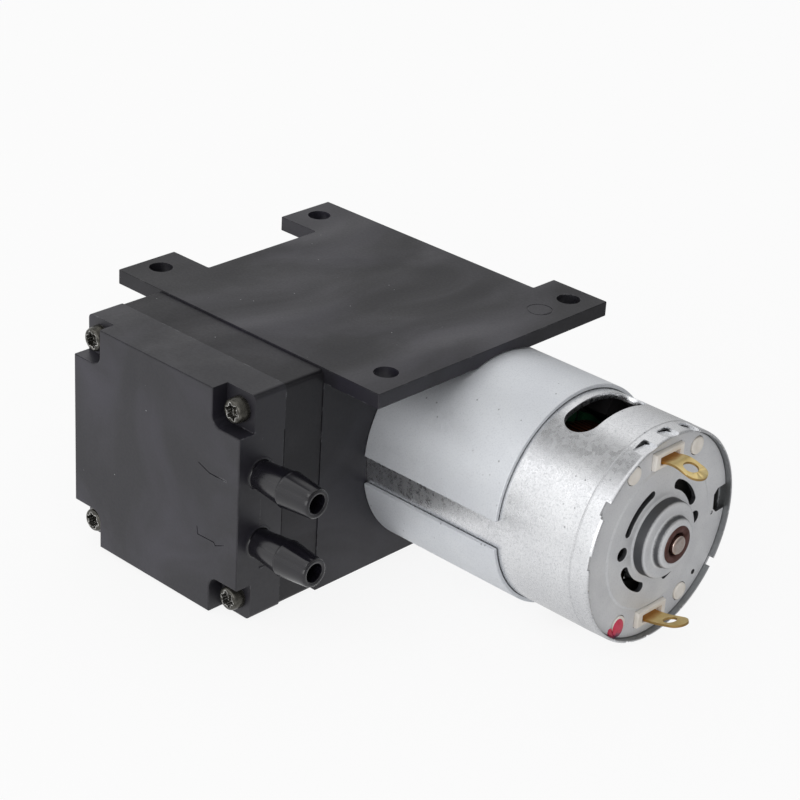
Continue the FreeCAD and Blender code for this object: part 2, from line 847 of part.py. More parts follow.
def bearing_balls():
    """Balls between the two rings, clear of both."""
    pitch = (inner_ring_radius + outer_ring_inner) / 2
    radius = (outer_ring_inner - inner_ring_radius) / 2 - ball_slack
    balls = []
    for step in range(ball_count):
        angle = 2 * math.pi * step / ball_count
        centre = point(0, throw + pitch * math.cos(angle), pitch * math.sin(angle))
        balls.append(Part.makeSphere(radius, centre))
    return Part.makeCompound(balls)


def eccentric():
    """Hub on the shaft with the offset boss for the bearing and a counterweight."""
    hub = rod_x(hub_radius, (hub_left, hub_right))
    inside_hub = hub_right - past
    pin = rod_x(pin_radius, (inside_hub, rod_half + pin_proud), throw)
    shoulder = rod_x(shoulder_radius, (inside_hub, -rod_half), throw)
    weight_radii = (shaft_radius + past, weight_radius)
    weight = sector((hub_left, hub_right), weight_radii, 180.0, weight_half_deg)
    body = hub.fuse(pin).fuse(shoulder).fuse(weight)
    bore = rod_x(shaft_radius + press_slack, (hub_left - past, rod_half + pin_proud + past))
    thread = rod_z(grub_radius + thread_slack, (0, hub_radius + past), (hub_left + hub_right) / 2)
    return cut_all(body, [bore, thread])


def eccentric_set_screw():
    """Grub screw that locks the hub on the shaft."""
    middle = (hub_left + hub_right) / 2
    low = shaft_radius + fit_slack
    high = low + grub_length
    screw = rod_z(grub_radius, (low, high), middle)
    return screw.cut(rod_z(grub_socket, (high - grub_socket_depth, high + past), middle))


def shaft():
    """Motor shaft with a chamfer at each end."""
    body = rod_x(shaft_radius, (shaft_start, shaft_end))
    ends = rims_at(body, ALONG_X, shaft_start, shaft_radius) + rims_at(body, ALONG_X, shaft_end, shaft_radius)
    return body.makeChamfer(shaft_chamfer, ends)


def slotted_disc(x, radius):
    """Disc on the shaft with the winding slots cut through it."""
    disc = tube_x(radius, shaft_radius + press_slack, x)
    through = (x[0] - past, x[1] + past)
    room = box(through, (slot_floor, slot_top), (-slot_half, slot_half))
    mouth = box(through, (slot_top - past, core_radius + past), (-slot_mouth, slot_mouth))
    cutter = room.fuse(mouth)
    return cut_all(disc, [about_shaft(cutter, 360 * step / core_slots) for step in range(core_slots)])


def armature_core():
    return slotted_disc((core_start, core_end), core_radius)


def armature_insulators():
    """Insulating discs at both ends of the core."""
    radius = core_radius - fibre_inset
    front = slotted_disc((core_start - fibre_thickness, core_start), radius)
    rear = slotted_disc((core_end, core_end + fibre_thickness), radius)
    return Part.makeCompound([front, rear])


def end_coil(x):
    """Rounded bundle of wire at one end of the armature."""
    coil = tube_x(coil_radius, sleeve_radius + coil_to_sleeve, x)
    rims = rims_at(coil, ALONG_X, x[0], coil_radius) + rims_at(coil, ALONG_X, x[1], coil_radius)
    return coil.makeFillet(coil_round, rims)


def windings():
    """Wire bundles in the slots, joined by the end coils."""
    body = end_coil((front_coil_end - front_coil, front_coil_end))
    body = body.fuse(end_coil((rear_coil_start, rear_coil_start + rear_coil)))
    half = slot_half - slot_play
    depth = (slot_floor + slot_play, slot_top - slot_play)
    bar = box((front_coil_end - past, rear_coil_start + past), depth, (-half, half))
    for step in range(core_slots):
        body = body.fuse(about_shaft(bar, 360 * step / core_slots))
    return body


def shaft_spacers():
    """Sleeves that hold the armature between the bearings."""
    bore = shaft_radius + press_slack
    front_start = motor_front + can_floor + front_play
    front = tube_x(sleeve_radius, bore, (front_start, front_coil_end - front_coil + sleeve_overlap))
    rear = tube_x(sleeve_radius, bore, (rear_coil_start + rear_coil - sleeve_overlap, flange_start))
    return Part.makeCompound([front, rear])


def commutator():
    """Copper commutator with a slit between each pair of segments."""
    bore = shaft_radius + press_slack
    body = tube_x(commutator_radius, bore, (commutator_start, commutator_end))
    body = body.fuse(tube_x(commutator_flange, bore, (flange_start, commutator_start)))
    half = commutator_slit / 2
    depth = (commutator_radius - commutator_slit_depth, commutator_flange + past)
    slit = box((flange_start - past, commutator_end + past), depth, (-half, half))
    turns = [360 * (step + 0.5) / core_slots for step in range(core_slots)]
    return cut_all(body, [about_shaft(slit, turn) for turn in turns])


def window_cutter(middle):
    """Long window with round ends through one side of the can."""
    centre = rim_x - window_from_rim
    half_width = window_width / 2
    half_span = window_half_deg - math.degrees(half_width / can_radius)
    radii = (can_inner - past, can_radius + past)
    cutter = sector((centre - half_width, centre + half_width), radii, middle, half_span)
    for side in (-half_span, half_span):
        cutter = cutter.fuse(about_shaft(rod_y(half_width, radii, centre), middle + side))
    return cutter


def motor_can():
    """Drawn steel can with the front boss, two windows, crimp slots and a notched rim."""
    boss_front = motor_front - front_boss
    band_radius = can_radius - rim_band_step
    body = turned_x([
        (boss_front, front_opening),
        (boss_front, boss_radius),
        (motor_front, boss_radius),
        (motor_front, can_radius),
        (rim_x - rim_band, can_radius),
        (rim_x - rim_band + rim_band_step, band_radius),
        (rim_x, band_radius),
        (rim_x, can_inner),
        (motor_front + can_floor, can_inner),
        (motor_front + can_floor, bearing_pocket),
        (boss_front + can_wall, bearing_pocket),
        (boss_front + can_wall, front_opening),
    ])
    body = body.makeFillet(can_round, rims_at(body, ALONG_X, motor_front, can_radius))
    body = body.makeFillet(boss_round, rims_at(body, ALONG_X, boss_front, boss_radius))
    radii = (can_inner - past, can_radius + past)
    cuts = [window_cutter(middle) for middle in (90.0, 270.0)]
    half = rim_notch_width / 2
    notch = box((rim_x - rim_notch_depth, rim_x + past), radii, (-half, half))
    cuts += [about_shaft(notch, angle) for angle in rim_notch_degs]
    half = crimp_width / 2
    crimp_x = rim_x - crimp_from_rim
    crimp = box((crimp_x - crimp_length / 2, crimp_x + crimp_length / 2), radii, (-half, half))
    cuts += [about_shaft(crimp, angle + turn) for angle in crimp_degs for turn in half_turns]
    for z in (-motor_screw_place, motor_screw_place):
        depth = (motor_front - past, motor_front + can_floor + past)
        cuts.append(rod_x(motor_screw_radius + thread_slack, depth, 0, z))
    return cut_all(body, cuts)


def flux_ring():
    """Split steel sleeve round the can."""
    half_span = (360 - ring_gap_deg) / 2
    x = (head_half, head_half + ring_length)
    return sector(x, (ring_inner, ring_radius), ring_gap_at_deg + 180, half_span)


def magnets():
    """Two magnet segments inside the can."""
    radii = (magnet_inner, can_inner - magnet_slack)
    x = (magnet_start, magnet_end)
    return Part.makeCompound([sector(x, radii, turn, magnet_deg / 2) for turn in half_turns])


def front_bearing():
    """Sintered bush in the can's front boss."""
    start = motor_front - front_boss + can_wall + bearing_slack
    radius = bearing_pocket - bearing_slack
    return tube_x(radius, shaft_radius + shaft_running, (start, motor_front + can_floor))


def rear_bearing():
    """Sintered bush whose nose shows in the end plate's boss."""
    shoulder = boss_end - can_wall - bearing_slack
    bore = shaft_radius + shaft_running
    radius = bearing_pocket - bearing_slack
    body = turned_x([
        (end_inner - bearing_tail, bore),
        (end_inner - bearing_tail, radius),
        (shoulder, radius),
        (shoulder, bearing_nose),
        (bearing_end, bearing_nose),
        (bearing_end, bore),
    ])
    return body.makeChamfer(bearing_round, rims_at(body, ALONG_X, bearing_end, bearing_nose))


def end_plate():
    """Stamped end plate with its bearing boss, vents and openings for the brush carrier."""
    radius = can_inner - end_slack
    collar_end = boss_end + collar_height
    nose = bearing_nose + bearing_slack
    body = turned_x([
        (end_inner, bearing_pocket),
        (end_inner, radius),
        (end_face, radius),
        (end_face, step_radius),
        (end_face + step_height, step_radius - step_height),
        (end_face + step_height, boss_radius),
        (boss_end, boss_radius),
        (boss_end, collar_radius),
        (collar_end, collar_radius),
        (collar_end, nose),
        (boss_end - can_wall, nose),
        (boss_end - can_wall, bearing_pocket),
    ])
    body = body.makeFillet(boss_round, rims_at(body, ALONG_X, boss_end, boss_radius))
    body = body.makeFillet(collar_round, rims_at(body, ALONG_X, collar_end, collar_radius))
    through = (end_inner - past, end_face + past)
    cuts = [rod_x(peg_radius + fit_slack, through, y, z) for y in (-peg_y, peg_y) for z in (-peg_z, peg_z)]
    block_z = (block_low - fit_slack, block_high + fit_slack)
    opening = box(through, (-block_half - fit_slack, block_half + fit_slack), block_z)
    hole = rod_x(vent_hole, through, vent_hole_circle)
    for turn in half_turns:
        cuts.append(ring_slot(through, vent_circle, kidney_width, kidney_at_deg + turn, kidney_half_deg))
        cuts.append(ring_slot(through, vent_circle, slit_width, slit_at_deg + turn, slit_half_deg))
        cuts.append(about_shaft(hole, turn))
        cuts.append(about_shaft(opening, turn))
    notch = (can_inner - edge_notch_depth, can_inner + past)
    cuts.append(sector(through, notch, edge_notch_at_deg, edge_notch_half_deg))
    cuts.append(about_shaft(rod_x(pin_hole, through, can_inner - pin_hole_inset), pin_hole_deg))
    return cut_all(body, cuts)


def brush_carrier():
    """Moulded ring behind the end plate, with four rivet pegs and two terminal blocks."""
    ring = (carrier_start, end_inner)
    body = tube_x(can_inner - 2 * end_slack, can_inner - carrier_inset, ring)
    top = end_face + block_proud
    block = box((carrier_start, top), (-block_half, block_half), (block_low, block_high))
    block = block.makeFillet(block_round, edges_at(block, ALONG_X, top))
    half = pocket_height / 2
    pocket_x = (top - pocket_depth, top + past)
    pocket = box(pocket_x, (-pocket_half, pocket_half), (tab_height - half, tab_height + half))
    half = tab_thickness / 2 + fit_slack
    slot_y = (-tab_half - fit_slack, tab_half + fit_slack)
    slot = box((carrier_start - past, top + past), slot_y, (tab_height - half, tab_height + half))
    for turn in half_turns:
        body = body.fuse(about_shaft(block, turn))
    for y in (-peg_y, peg_y):
        for z in (-peg_z, peg_z):
            body = body.fuse(rod_x(peg_radius, (carrier_start, end_face + peg_proud), y, z))
    return cut_all(body, [about_shaft(cut, turn) for cut in (pocket, slot) for turn in half_turns])


def terminal(z, bend):
    """Brass solder tab with an eye, bent by some degrees outside the end plate."""
    half = tab_thickness / 2
    thick = (z - half, z + half)
    bend_x = end_face + tab_bend_at
    tip = end_face + tab_reach
    flat = box((end_face - tab_tail, bend_x), (-tab_half, tab_half), thick)
    outer = box((bend_x, tip - tab_half), (-tab_half, tab_half), thick)
    outer = outer.fuse(rod_z(tab_half, thick, tip - tab_half))
    outer = outer.cut(rod_z(eye_radius, (z - past, z + past), tip - eye_from_tip))
    outer.rotate(point(bend_x, 0, z), ALONG_Y, bend)
    knee = rod_y(half, (-tab_half, tab_half), bend_x, z)
    return flat.fuse(knee).fuse(outer)


def terminal_upper():
    return terminal(tab_height, upper_tab_bend_deg)


def terminal_lower():
    return terminal(-tab_height, 0)


def brushes():
    """Two carbon brushes that ride on the commutator."""
    low = commutator_radius + brush_gap
    x = (brush_middle - brush_width / 2, brush_middle + brush_width / 2)
    brush = box(x, (-brush_half, brush_half), (low, low + brush_length))
    return Part.makeCompound([about_shaft(brush, turn) for turn in half_turns])


def brush_arms():
    """Leaf springs from the terminals to the brushes."""
    left = end_face - tab_tail
    foot = commutator_radius + brush_gap + brush_length
    root = tab_height - tab_thickness / 2
    width = (-brush_half, brush_half)
    pad = box((left, left + arm_foot), width, (root - arm_thickness, root))
    drop = box((left, left + arm_thickness), width, (foot, root))
    reach = (brush_middle - brush_width / 2, left + arm_thickness)
    arm = pad.fuse(drop).fuse(box(reach, width, (foot, foot + arm_thickness)))
    return Part.makeCompound([about_shaft(arm, turn) for turn in half_turns])


NODES = (
    crankcase, crankcase_cap, valve_body, inlet_valve, outlet_valve, port_gasket, head_cover,
    head_screws, motor_screws, diaphragm, motor_can, flux_ring, magnets, front_bearing,
    rear_bearing, end_plate, brush_carrier, terminal_upper, terminal_lower, brushes, brush_arms,
    shaft, armature_core, armature_insulators, windings, shaft_spacers, commutator, eccentric,
    eccentric_set_screw, bearing_inner_ring, bearing_outer_ring, bearing_balls, connecting_rod,
    clamp_disc, diaphragm_screw,
)


def main():
    os.makedirs("parts", exist_ok=True)
    for build in NODES:
        shape = build()
        shape.translate(point(0, 0, -plate_top))
        shape.exportStep(os.path.join("parts", build.__name__ + ".step"))
        print(build.__name__, len(shape.Solids), shape.isValid(), round(shape.Volume, 1))


main()
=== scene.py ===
import math
import bmesh
import bpy
from mathutils import Matrix, Vector


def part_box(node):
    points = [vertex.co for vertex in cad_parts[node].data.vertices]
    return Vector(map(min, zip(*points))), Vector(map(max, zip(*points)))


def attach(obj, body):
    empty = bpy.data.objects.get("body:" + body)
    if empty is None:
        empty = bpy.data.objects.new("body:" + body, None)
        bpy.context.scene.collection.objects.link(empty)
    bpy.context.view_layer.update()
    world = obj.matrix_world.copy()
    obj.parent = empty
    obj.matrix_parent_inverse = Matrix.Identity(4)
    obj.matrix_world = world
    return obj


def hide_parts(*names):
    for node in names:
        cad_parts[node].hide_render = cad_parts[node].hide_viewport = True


# Diaphragm pump with its motor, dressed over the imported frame. Shapes are drawn in
# millimetres about the motor's shaft: X runs along the shaft towards the solder tabs, the
# head faces -Y and the mounting plate is on top. placed() turns them into metres under the
# mounting face, where the frame has them.

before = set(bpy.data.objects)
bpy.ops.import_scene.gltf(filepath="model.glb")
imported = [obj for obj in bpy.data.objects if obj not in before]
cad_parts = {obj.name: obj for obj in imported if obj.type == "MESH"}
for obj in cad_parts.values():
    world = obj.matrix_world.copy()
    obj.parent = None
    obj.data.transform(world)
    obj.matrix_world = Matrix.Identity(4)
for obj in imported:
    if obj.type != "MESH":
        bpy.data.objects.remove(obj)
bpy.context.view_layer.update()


def corners(node):
    """The low and the high corner of a frame node, in millimetres."""
    return [[round(1000 * value, 4) for value in corner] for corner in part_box(node)]


shaft_low, shaft_high = corners("shaft")
can_low, can_high = corners("motor_can")
cover_low, cover_high = corners("head_cover")

DROP = round(-(shaft_low[2] + shaft_high[2]) / 2, 4)    # from the shaft up to the mounting face
CAN = can_high[1]           # outer radius of the can
CAN_FRONT = can_low[0]
RIM = can_high[0]           # open end of the can
HEAD_SIDE = -cover_low[0]   # side of the cover that the nozzles stand on
COVER_FACE = cover_low[1]
COVER_BACK = cover_high[1]

# Head
COVER_SEAM = 0.12           # how far the cover's back is drawn in, so that its seam shows
NOTCH_FLOOR = -42.9         # seat of the head screws
NOZZLE_Y = -41.4
NOZZLE_HEIGHTS = (6.4, -5.6)
NOZZLE_BORE = 1.55
SCREW_PLACES = [(x, z) for x in (-16.5, 16.5) for z in (-16.0, 17.0)]
UPPER_MARK = [(10.56, 6.37), (13.07, 5.51), (16.78, 5.54)]
LOWER_MARK = [(10.41, -5.01), (10.61, -6.29), (14.38, -6.2), (14.65, -6.66), (16.5, -5.85)]
MARK_WIDTH = 0.16
MARK_DEPTH = 0.22
EJECTOR_RING = (26.3, 14.4)     # on the mounting plate, near its ear

# Motor; angles are in degrees about the shaft, from +Y up over the top
CAN_INNER = 16.9
RIM_INNER = 17.34           # the rim is thinner than the wall behind it
WINDOW_X = (49.7, 55.6)
WINDOW_SPAN = 35.1          # between the centres of a window's round ends
NOTCHES = ((145.6, 2.3, 1.0), (149.2, 0.9, 0.6), (173.6, 2.4, 0.35), (325.4, 1.4, 0.97))
LUGS = ((145.6, 1.1), (149.2, 0.4))     # the end plate's lugs in the first two notches
LANCES = (73.0, 90.1, 107.2, 253.0, 270.1, 287.2)
NICKS = 48                  # torn nicks along the rim's edge
RING_GAP = 182.6            # middle of the flux ring's gap
RING_GAP_SPAN = 15.5
END_FACE = 65.0
RAISED_FACE = 65.25         # the end plate's raised middle, and the pegs' heads
SLOT_CIRCLE = 8.6
PEG_PLACES = [(y, z) for y in (-7.69, 7.69) for z in (-13.05, 13.05)]
BLOCK_FACE = END_FACE + 0.8     # face of the white blocks, where the solder tabs come out
TAB_HEIGHT = 13.9
TAB_TIP = 72.6
PAINT_DABS = ((-7.85, -13.45, 1.3, 1.65, 12), (-8.25, -14.3, 1.15, 1.0, 40),
              (-9.4, -13.9, 0.6, 1.0, 30))      # y, z, half width, half height and lean


# Shaping tools

def block(x, y, z):
    """A box between two values along each axis."""
    shape = bmesh.new()
    bmesh.ops.create_cube(shape, size=1.0)
    low = Vector((x[0], y[0], z[0]))
    high = Vector((x[1], y[1], z[1]))
    bmesh.ops.scale(shape, vec=high - low, verts=shape.verts)
    bmesh.ops.translate(shape, vec=(low + high) / 2, verts=shape.verts)
    return shape


def turned(profile, steps, closed=True, sweep=360.0):
    """A profile of (x, radius) pairs spun about the X axis."""
    shape = bmesh.new()
    corners = [shape.verts.new((x, radius, 0)) for x, radius in profile]
    ends = corners[1:] + corners[:1] if closed else corners[1:]
    edges = [shape.edges.new(pair) for pair in zip(corners, ends)]
    whole = sweep == 360.0
    bmesh.ops.spin(shape, geom=corners + edges, cent=(0, 0, 0), axis=(1, 0, 0),
                   angle=math.radians(sweep), steps=steps, use_merge=whole)
    if not whole:
        bmesh.ops.holes_fill(shape, edges=shape.edges, sides=0)
    bmesh.ops.remove_doubles(shape, verts=shape.verts, dist=1e-5)
    bmesh.ops.recalc_face_normals(shape, faces=shape.faces)
    return shape


def drum(radius, x, steps=48):
    """A plain round bar along X."""
    return turned([(x[0], 0), (x[0], radius), (x[1], radius), (x[1], 0)], steps, closed=False)


def moved(shape, place=(0, 0, 0), turn=0.0, axis="X"):
    """The shape turned about an axis through the origin, in degrees, and then moved."""
    spot = Matrix.Translation(place) @ Matrix.Rotation(math.radians(turn), 4, axis)
    bmesh.ops.transform(shape, matrix=spot, verts=shape.verts)
    return shape


def rounded(shape, radius, segments=3, chosen=None):
    """The shape with some of its edges rounded, or all of its sharp ones."""
    edges = chosen or [edge for edge in shape.edges if edge.calc_face_angle(0.0) > 0.6]
    bmesh.ops.bevel(shape, geom=edges, offset=radius, segments=segments, profile=0.5,
                    affect="EDGES", material=-1)
    return shape


def joined(shapes):
    """Several shapes that don't cut into each other, as one."""
    whole = bmesh.new()
    for shape in shapes:
        part = bpy.data.meshes.new("part")
        shape.to_mesh(part)
        shape.free()
        whole.from_mesh(part)
        bpy.data.meshes.remove(part)
    return whole


def blank(shape):
    """A temporary object with the shape as its mesh."""
    mesh = bpy.data.meshes.new("blank")
    shape.to_mesh(mesh)
    shape.free()
    thing = bpy.data.objects.new("blank", mesh)
    bpy.context.scene.collection.objects.link(thing)
    return thing


def worked(shape, tools, how="DIFFERENCE"):
    """The shape with each tool cut out of it, or joined to it with how="UNION"."""
    stock = blank(shape)
    cutters = [blank(tool) for tool in tools]
    for cutter in cutters:
        cut = stock.modifiers.new("cut", "BOOLEAN")
        cut.operation = how
        cut.solver = "EXACT"
        cut.object = cutter
    bpy.context.view_layer.update()
    depsgraph = bpy.context.evaluated_depsgraph_get()
    mesh = bpy.data.meshes.new_from_object(stock.evaluated_get(depsgraph))
    result = bmesh.new()
    result.from_mesh(mesh)
    bmesh.ops.remove_doubles(result, verts=result.verts, dist=1e-4)
    for thing in [stock] + cutters:
        bpy.data.objects.remove(thing)
    return result


def from_frame(name):
    """The shape of a frame node, merged from its loose triangles, in millimetres."""
    shape = bmesh.new()
    shape.from_mesh(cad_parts[name].data)
    bmesh.ops.scale(shape, vec=(1000, 1000, 1000), verts=shape.verts)
    bmesh.ops.translate(shape, vec=(0, 0, DROP), verts=shape.verts)
    bmesh.ops.remove_doubles(shape, verts=shape.verts, dist=1e-3)
    bmesh.ops.dissolve_limit(shape, angle_limit=math.radians(0.5), verts=shape.verts, edges=shape.edges)
    return shape


def placed(name, shape, finish, nodes=(), body="pump_body", edge=0.12, segments=2):
    """Puts a finished shape into the scene as a piece that rides on a body."""
    bmesh.ops.translate(shape, vec=(0, 0, -DROP), verts=shape.verts)
    bmesh.ops.scale(shape, vec=(0.001, 0.001, 0.001), verts=shape.verts)
    mesh = bpy.data.meshes.new(name)
    shape.to_mesh(mesh)
    shape.free()
    # Normals kept from the frame's mesh would hold the old shading
    if "custom_normal" in mesh.attributes:
        mesh.attributes.remove(mesh.attributes["custom_normal"])
    mesh.materials.append(finish)
    mesh.polygons.foreach_set("material_index", [0] * len(mesh.polygons))
    mesh.polygons.foreach_set("use_smooth", [True] * len(mesh.polygons))
    piece = bpy.data.objects.new(name, mesh)
    bpy.context.scene.collection.objects.link(piece)
    if edge:
        softened = piece.modifiers.new("edges", "BEVEL")
        softened.width = edge / 1000
        softened.segments = segments
        softened.limit_method = "ANGLE"
        softened.angle_limit = math.radians(38)
        softened.use_clamp_overlap = True
    even = piece.modifiers.new("shading", "WEIGHTED_NORMAL")
    even.keep_sharp = True
    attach(piece, body)
    if nodes:
        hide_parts(*nodes)
    return piece


# Finishes

def paint(code):
    """A colour written as sRGB hex, in the linear values that shaders take."""
    parts = [int(code[i:i + 2], 16) / 255 for i in (1, 3, 5)]
    return [p / 12.92 if p <= 0.04045 else ((p + 0.055) / 1.055) ** 2.4 for p in parts] + [1.0]


def per(size):
    """The scale of a pattern whose features are this many millimetres across."""
    return 1000.0 / size


def add(tree, kind, *values, **named):
    """Adds a node and gives its first output. Values are numbers or other nodes' outputs, and go
    to its inputs in order. A name with a capital is an input's, with _ for a space, and a name
    in small letters is a setting's."""
    made = tree.nodes.new("ShaderNode" + kind)
    for name, value in named.items():
        if name.islower():
            setattr(made, name, value)
    given = list(zip([socket for socket in made.inputs if socket.enabled], values))
    given += [(made.inputs[name.replace("_", " ")], value) for name, value in named.items()
              if not name.islower()]
    for socket, value in given:
        if isinstance(value, bpy.types.NodeSocket):
            tree.links.new(value, socket)
        else:
            socket.default_value = value
    return next((socket for socket in made.outputs if socket.enabled), None)


def started(name, **constants):
    """A new material: its tree and shader, and the piece's own coordinates and facing."""
    made = bpy.data.materials.new(name)
    made.use_nodes = True
    tree = made.node_tree
    shader = tree.nodes["Principled BSDF"]
    for socket, value in constants.items():
        shader.inputs[socket.replace("_", " ")].default_value = value
    own = add(tree, "TexCoord").node.outputs
    return made, tree, shader, own["Object"], own["Normal"]


def linked(tree, shader, **looks):
    """Gives the shader's inputs what a finish works out for them."""
    for name, output in looks.items():
        tree.links.new(output, shader.inputs[name.replace("_", " ")])


def edges_for_wear_and_glints(tree, radius):
    """How far the surface leans away where an edge is rounded, from 0 on a flat to 1."""
    soft = add(tree, "Bevel", Radius=radius / 1000, samples=6)
    plain = add(tree, "NewGeometry").node.outputs["Normal"]
    lean = add(tree, "VectorMath", soft, plain, operation="DOT_PRODUCT")
    return add(tree, "MapRange", lean, 1.0, 0.86, 0.0, 1.0)


def moulded_nylon(name, dark, pale, gloss, shine, grit=0.16, ior=1.53):
    """Black glass-filled nylon from a spark-eroded mould: satin, cloudy where it flowed, with a
    fine grain, pale corners that are partly real scuffs and partly painted glints, and a little dust."""
    made, tree, shader, where, facing = started(name, IOR=ior, Specular_IOR_Level=shine)
    flow = add(tree, "Mapping", where, Scale=(1.0, 0.55, 0.8))
    clouds = add(tree, "TexNoise", flow, Scale=per(16), Detail=4.0, Distortion=0.8)
    grain = add(tree, "TexNoise", where, Scale=per(0.45), Detail=2.0)
    scuffs = add(tree, "TexNoise", where, Scale=per(2.2), Detail=6.0, Roughness=0.7)
    cloudy = add(tree, "MapRange", clouds, 0.42, 0.68, 0.0, 1.0)
    tone = add(tree, "Mix", cloudy, paint(dark), paint(pale), data_type="RGBA")
    scuffed = add(tree, "MapRange", scuffs, 0.53, 0.66, 0.0, 1.0)
    # Paler rounded edges: real scuffs in patches, with painted highlights standing in for glints
    edge = add(tree, "Math", edges_for_wear_and_glints(tree, 0.35), scuffed, operation="MULTIPLY")
    edge = add(tree, "MapRange", edge, 0.0, 1.0, 0.0, 0.5)
    tone = add(tree, "Mix", edge, tone, paint("#8a8a8e"), data_type="RGBA")
    specks = add(tree, "TexVoronoi", where, Scale=per(1.9))
    near = add(tree, "MapRange", specks, 0.035, 0.055, 1.0, 0.0)
    pick = add(tree, "SeparateColor", specks.node.outputs["Color"])
    few = add(tree, "MapRange", pick, 0.86, 0.88, 0.0, 0.7)
    dust = add(tree, "Math", near, few, operation="MULTIPLY")
    tone = add(tree, "Mix", dust, tone, paint("#b9b9bb"), data_type="RGBA")
    satin = add(tree, "MapRange", clouds, 0.35, 0.7, gloss + 0.07, gloss - 0.08)
    fleck = add(tree, "MapRange", grain, 0.3, 0.7, -0.03, 0.03)
    rough = add(tree, "Math", satin, fleck, operation="ADD")
    waves = add(tree, "TexNoise", flow, Scale=per(19), Detail=1.0, Distortion=0.3)
    height = add(tree, "SeparateXYZ", facing).node.outputs["Z"]
    upward = add(tree, "MapRange", height, 0.5, 0.9, 0.15, 1.0)
    sunk = add(tree, "Math", waves, upward, operation="MULTIPLY")
    low = add(tree, "Bump", Height=sunk, Strength=0.7, Distance=0.0028)
    fine = add(tree, "Bump", Height=grain, Strength=grit, Distance=0.00005, Normal=low)
    linked(tree, shader, Base_Color=tone, Roughness=rough, Normal=fine)
    return made


def galvanised_steel(name, base, dark, pale, rough, speck, bump, metallic=1.0, bands=0.1,
                     inside="#5f6162"):
    """Steel drawn or rolled from galvanised strip: grey-white zinc with a frosted grain, a few
    dark specks, faint bands round it, and painted shade: duller, darker grey on the side facing the shaft."""
    made, tree, shader, where, facing = started(name, Metallic=metallic)
    fine = add(tree, "TexNoise", where, Scale=per(speck), Detail=6.0, Roughness=0.8)
    cells = add(tree, "TexVoronoi", where, Scale=per(speck * 2.2))
    frost = add(tree, "SeparateColor", cells.node.outputs["Color"])
    around = add(tree, "Mapping", where, Scale=(1.0, 0.06, 0.06))
    rings = add(tree, "TexNoise", around, Scale=per(1.6), Detail=4.0)
    patches = add(tree, "TexNoise", where, Scale=per(9), Detail=4.0)
    patchy = add(tree, "MapRange", patches, 0.35, 0.65, 0.0, 1.0)
    tone = add(tree, "Mix", patchy, paint(base), paint(pale), data_type="RGBA")
    grainy = add(tree, "MapRange", fine, 0.5, 0.64, 0.0, 0.85)
    tone = add(tree, "Mix", grainy, tone, paint(dark), data_type="RGBA")
    banded = add(tree, "MapRange", rings, 0.35, 0.65, 0.0, bands)
    tone = add(tree, "Mix", banded, tone, paint(dark), data_type="RGBA")
    specks = add(tree, "TexVoronoi", where, Scale=per(1.3))
    near = add(tree, "MapRange", specks, 0.08, 0.16, 1.0, 0.0)
    pick = add(tree, "SeparateColor", specks.node.outputs["Color"]).node.outputs["Green"]
    few = add(tree, "MapRange", pick, 0.88, 0.9, 0.0, 0.6)
    marks = add(tree, "Math", near, few, operation="MULTIPLY")
    tone = add(tree, "Mix", marks, tone, paint("#54575a"), data_type="RGBA")
    # Painted shade: faces turned towards the shaft take the darker inside grey
    out = add(tree, "Mapping", where, Location=(0, 0, DROP / 1000), Scale=(0, 1, 1))
    outward = add(tree, "VectorMath", out, facing, operation="DOT_PRODUCT")
    inward_shade = add(tree, "MapRange", outward, -0.012, -0.003, 1.0, 0.0)
    tone = add(tree, "Mix", inward_shade, tone, paint(inside), data_type="RGBA")
    level = add(tree, "MapRange", fine, 0.35, 0.65, rough - 0.06, rough + 0.12)
    level = add(tree, "Math", level, add(tree, "MapRange", frost, 0.0, 1.0, -0.06, 0.06), operation="ADD")
    level = add(tree, "Math", level, add(tree, "MapRange", inward_shade, 0.0, 1.0, 0.0, 0.25), operation="ADD")
    first = add(tree, "Bump", Height=fine, Strength=bump, Distance=0.00004)
    second = add(tree, "Bump", Height=rings, Strength=0.06, Distance=0.0001, Normal=first)
    linked(tree, shader, Base_Color=tone, Roughness=level, Normal=second)
    return made


def stamped_plate(name):
    """Stamped steel with a dull grey-white coat, even on its faces, and painted shade on the walls
    of its steps, slots and vents: faces that turn away from the end are coloured dark grey."""
    made, tree, shader, where, facing = started(name, Metallic=0.35)
    fine = add(tree, "TexNoise", where, Scale=per(0.25), Detail=5.0, Roughness=0.7)
    wide = add(tree, "TexNoise", where, Scale=per(4.0), Detail=3.0)
    patchy = add(tree, "MapRange", wide, 0.35, 0.68, 0.0, 1.0)
    tone = add(tree, "Mix", patchy, paint("#dadbde"), paint("#e3e4e6"), data_type="RGBA")
    grainy = add(tree, "MapRange", fine, 0.55, 0.7, 0.0, 0.35)
    tone = add(tree, "Mix", grainy, tone, paint("#8e8f93"), data_type="RGBA")
    # Painted shade and dark reflections on the walls, which face away from +X
    ragged = add(tree, "MapRange", fine, 0.3, 0.7, -0.1, 0.1)
    level = add(tree, "Math", add(tree, "SeparateXYZ", facing), ragged, operation="ADD")
    painted_wall_shade = add(tree, "MapRange", level, 0.35, 0.8, 1.0, 0.0)
    tone = add(tree, "Mix", painted_wall_shade, tone, paint("#4b4c4f"), data_type="RGBA")
    linked(tree, shader, Base_Color=tone, Roughness=add(tree, "MapRange", fine, 0.3, 0.7, 0.4, 0.54),
           Normal=add(tree, "Bump", Height=fine, Strength=0.12, Distance=0.00003))
    return made


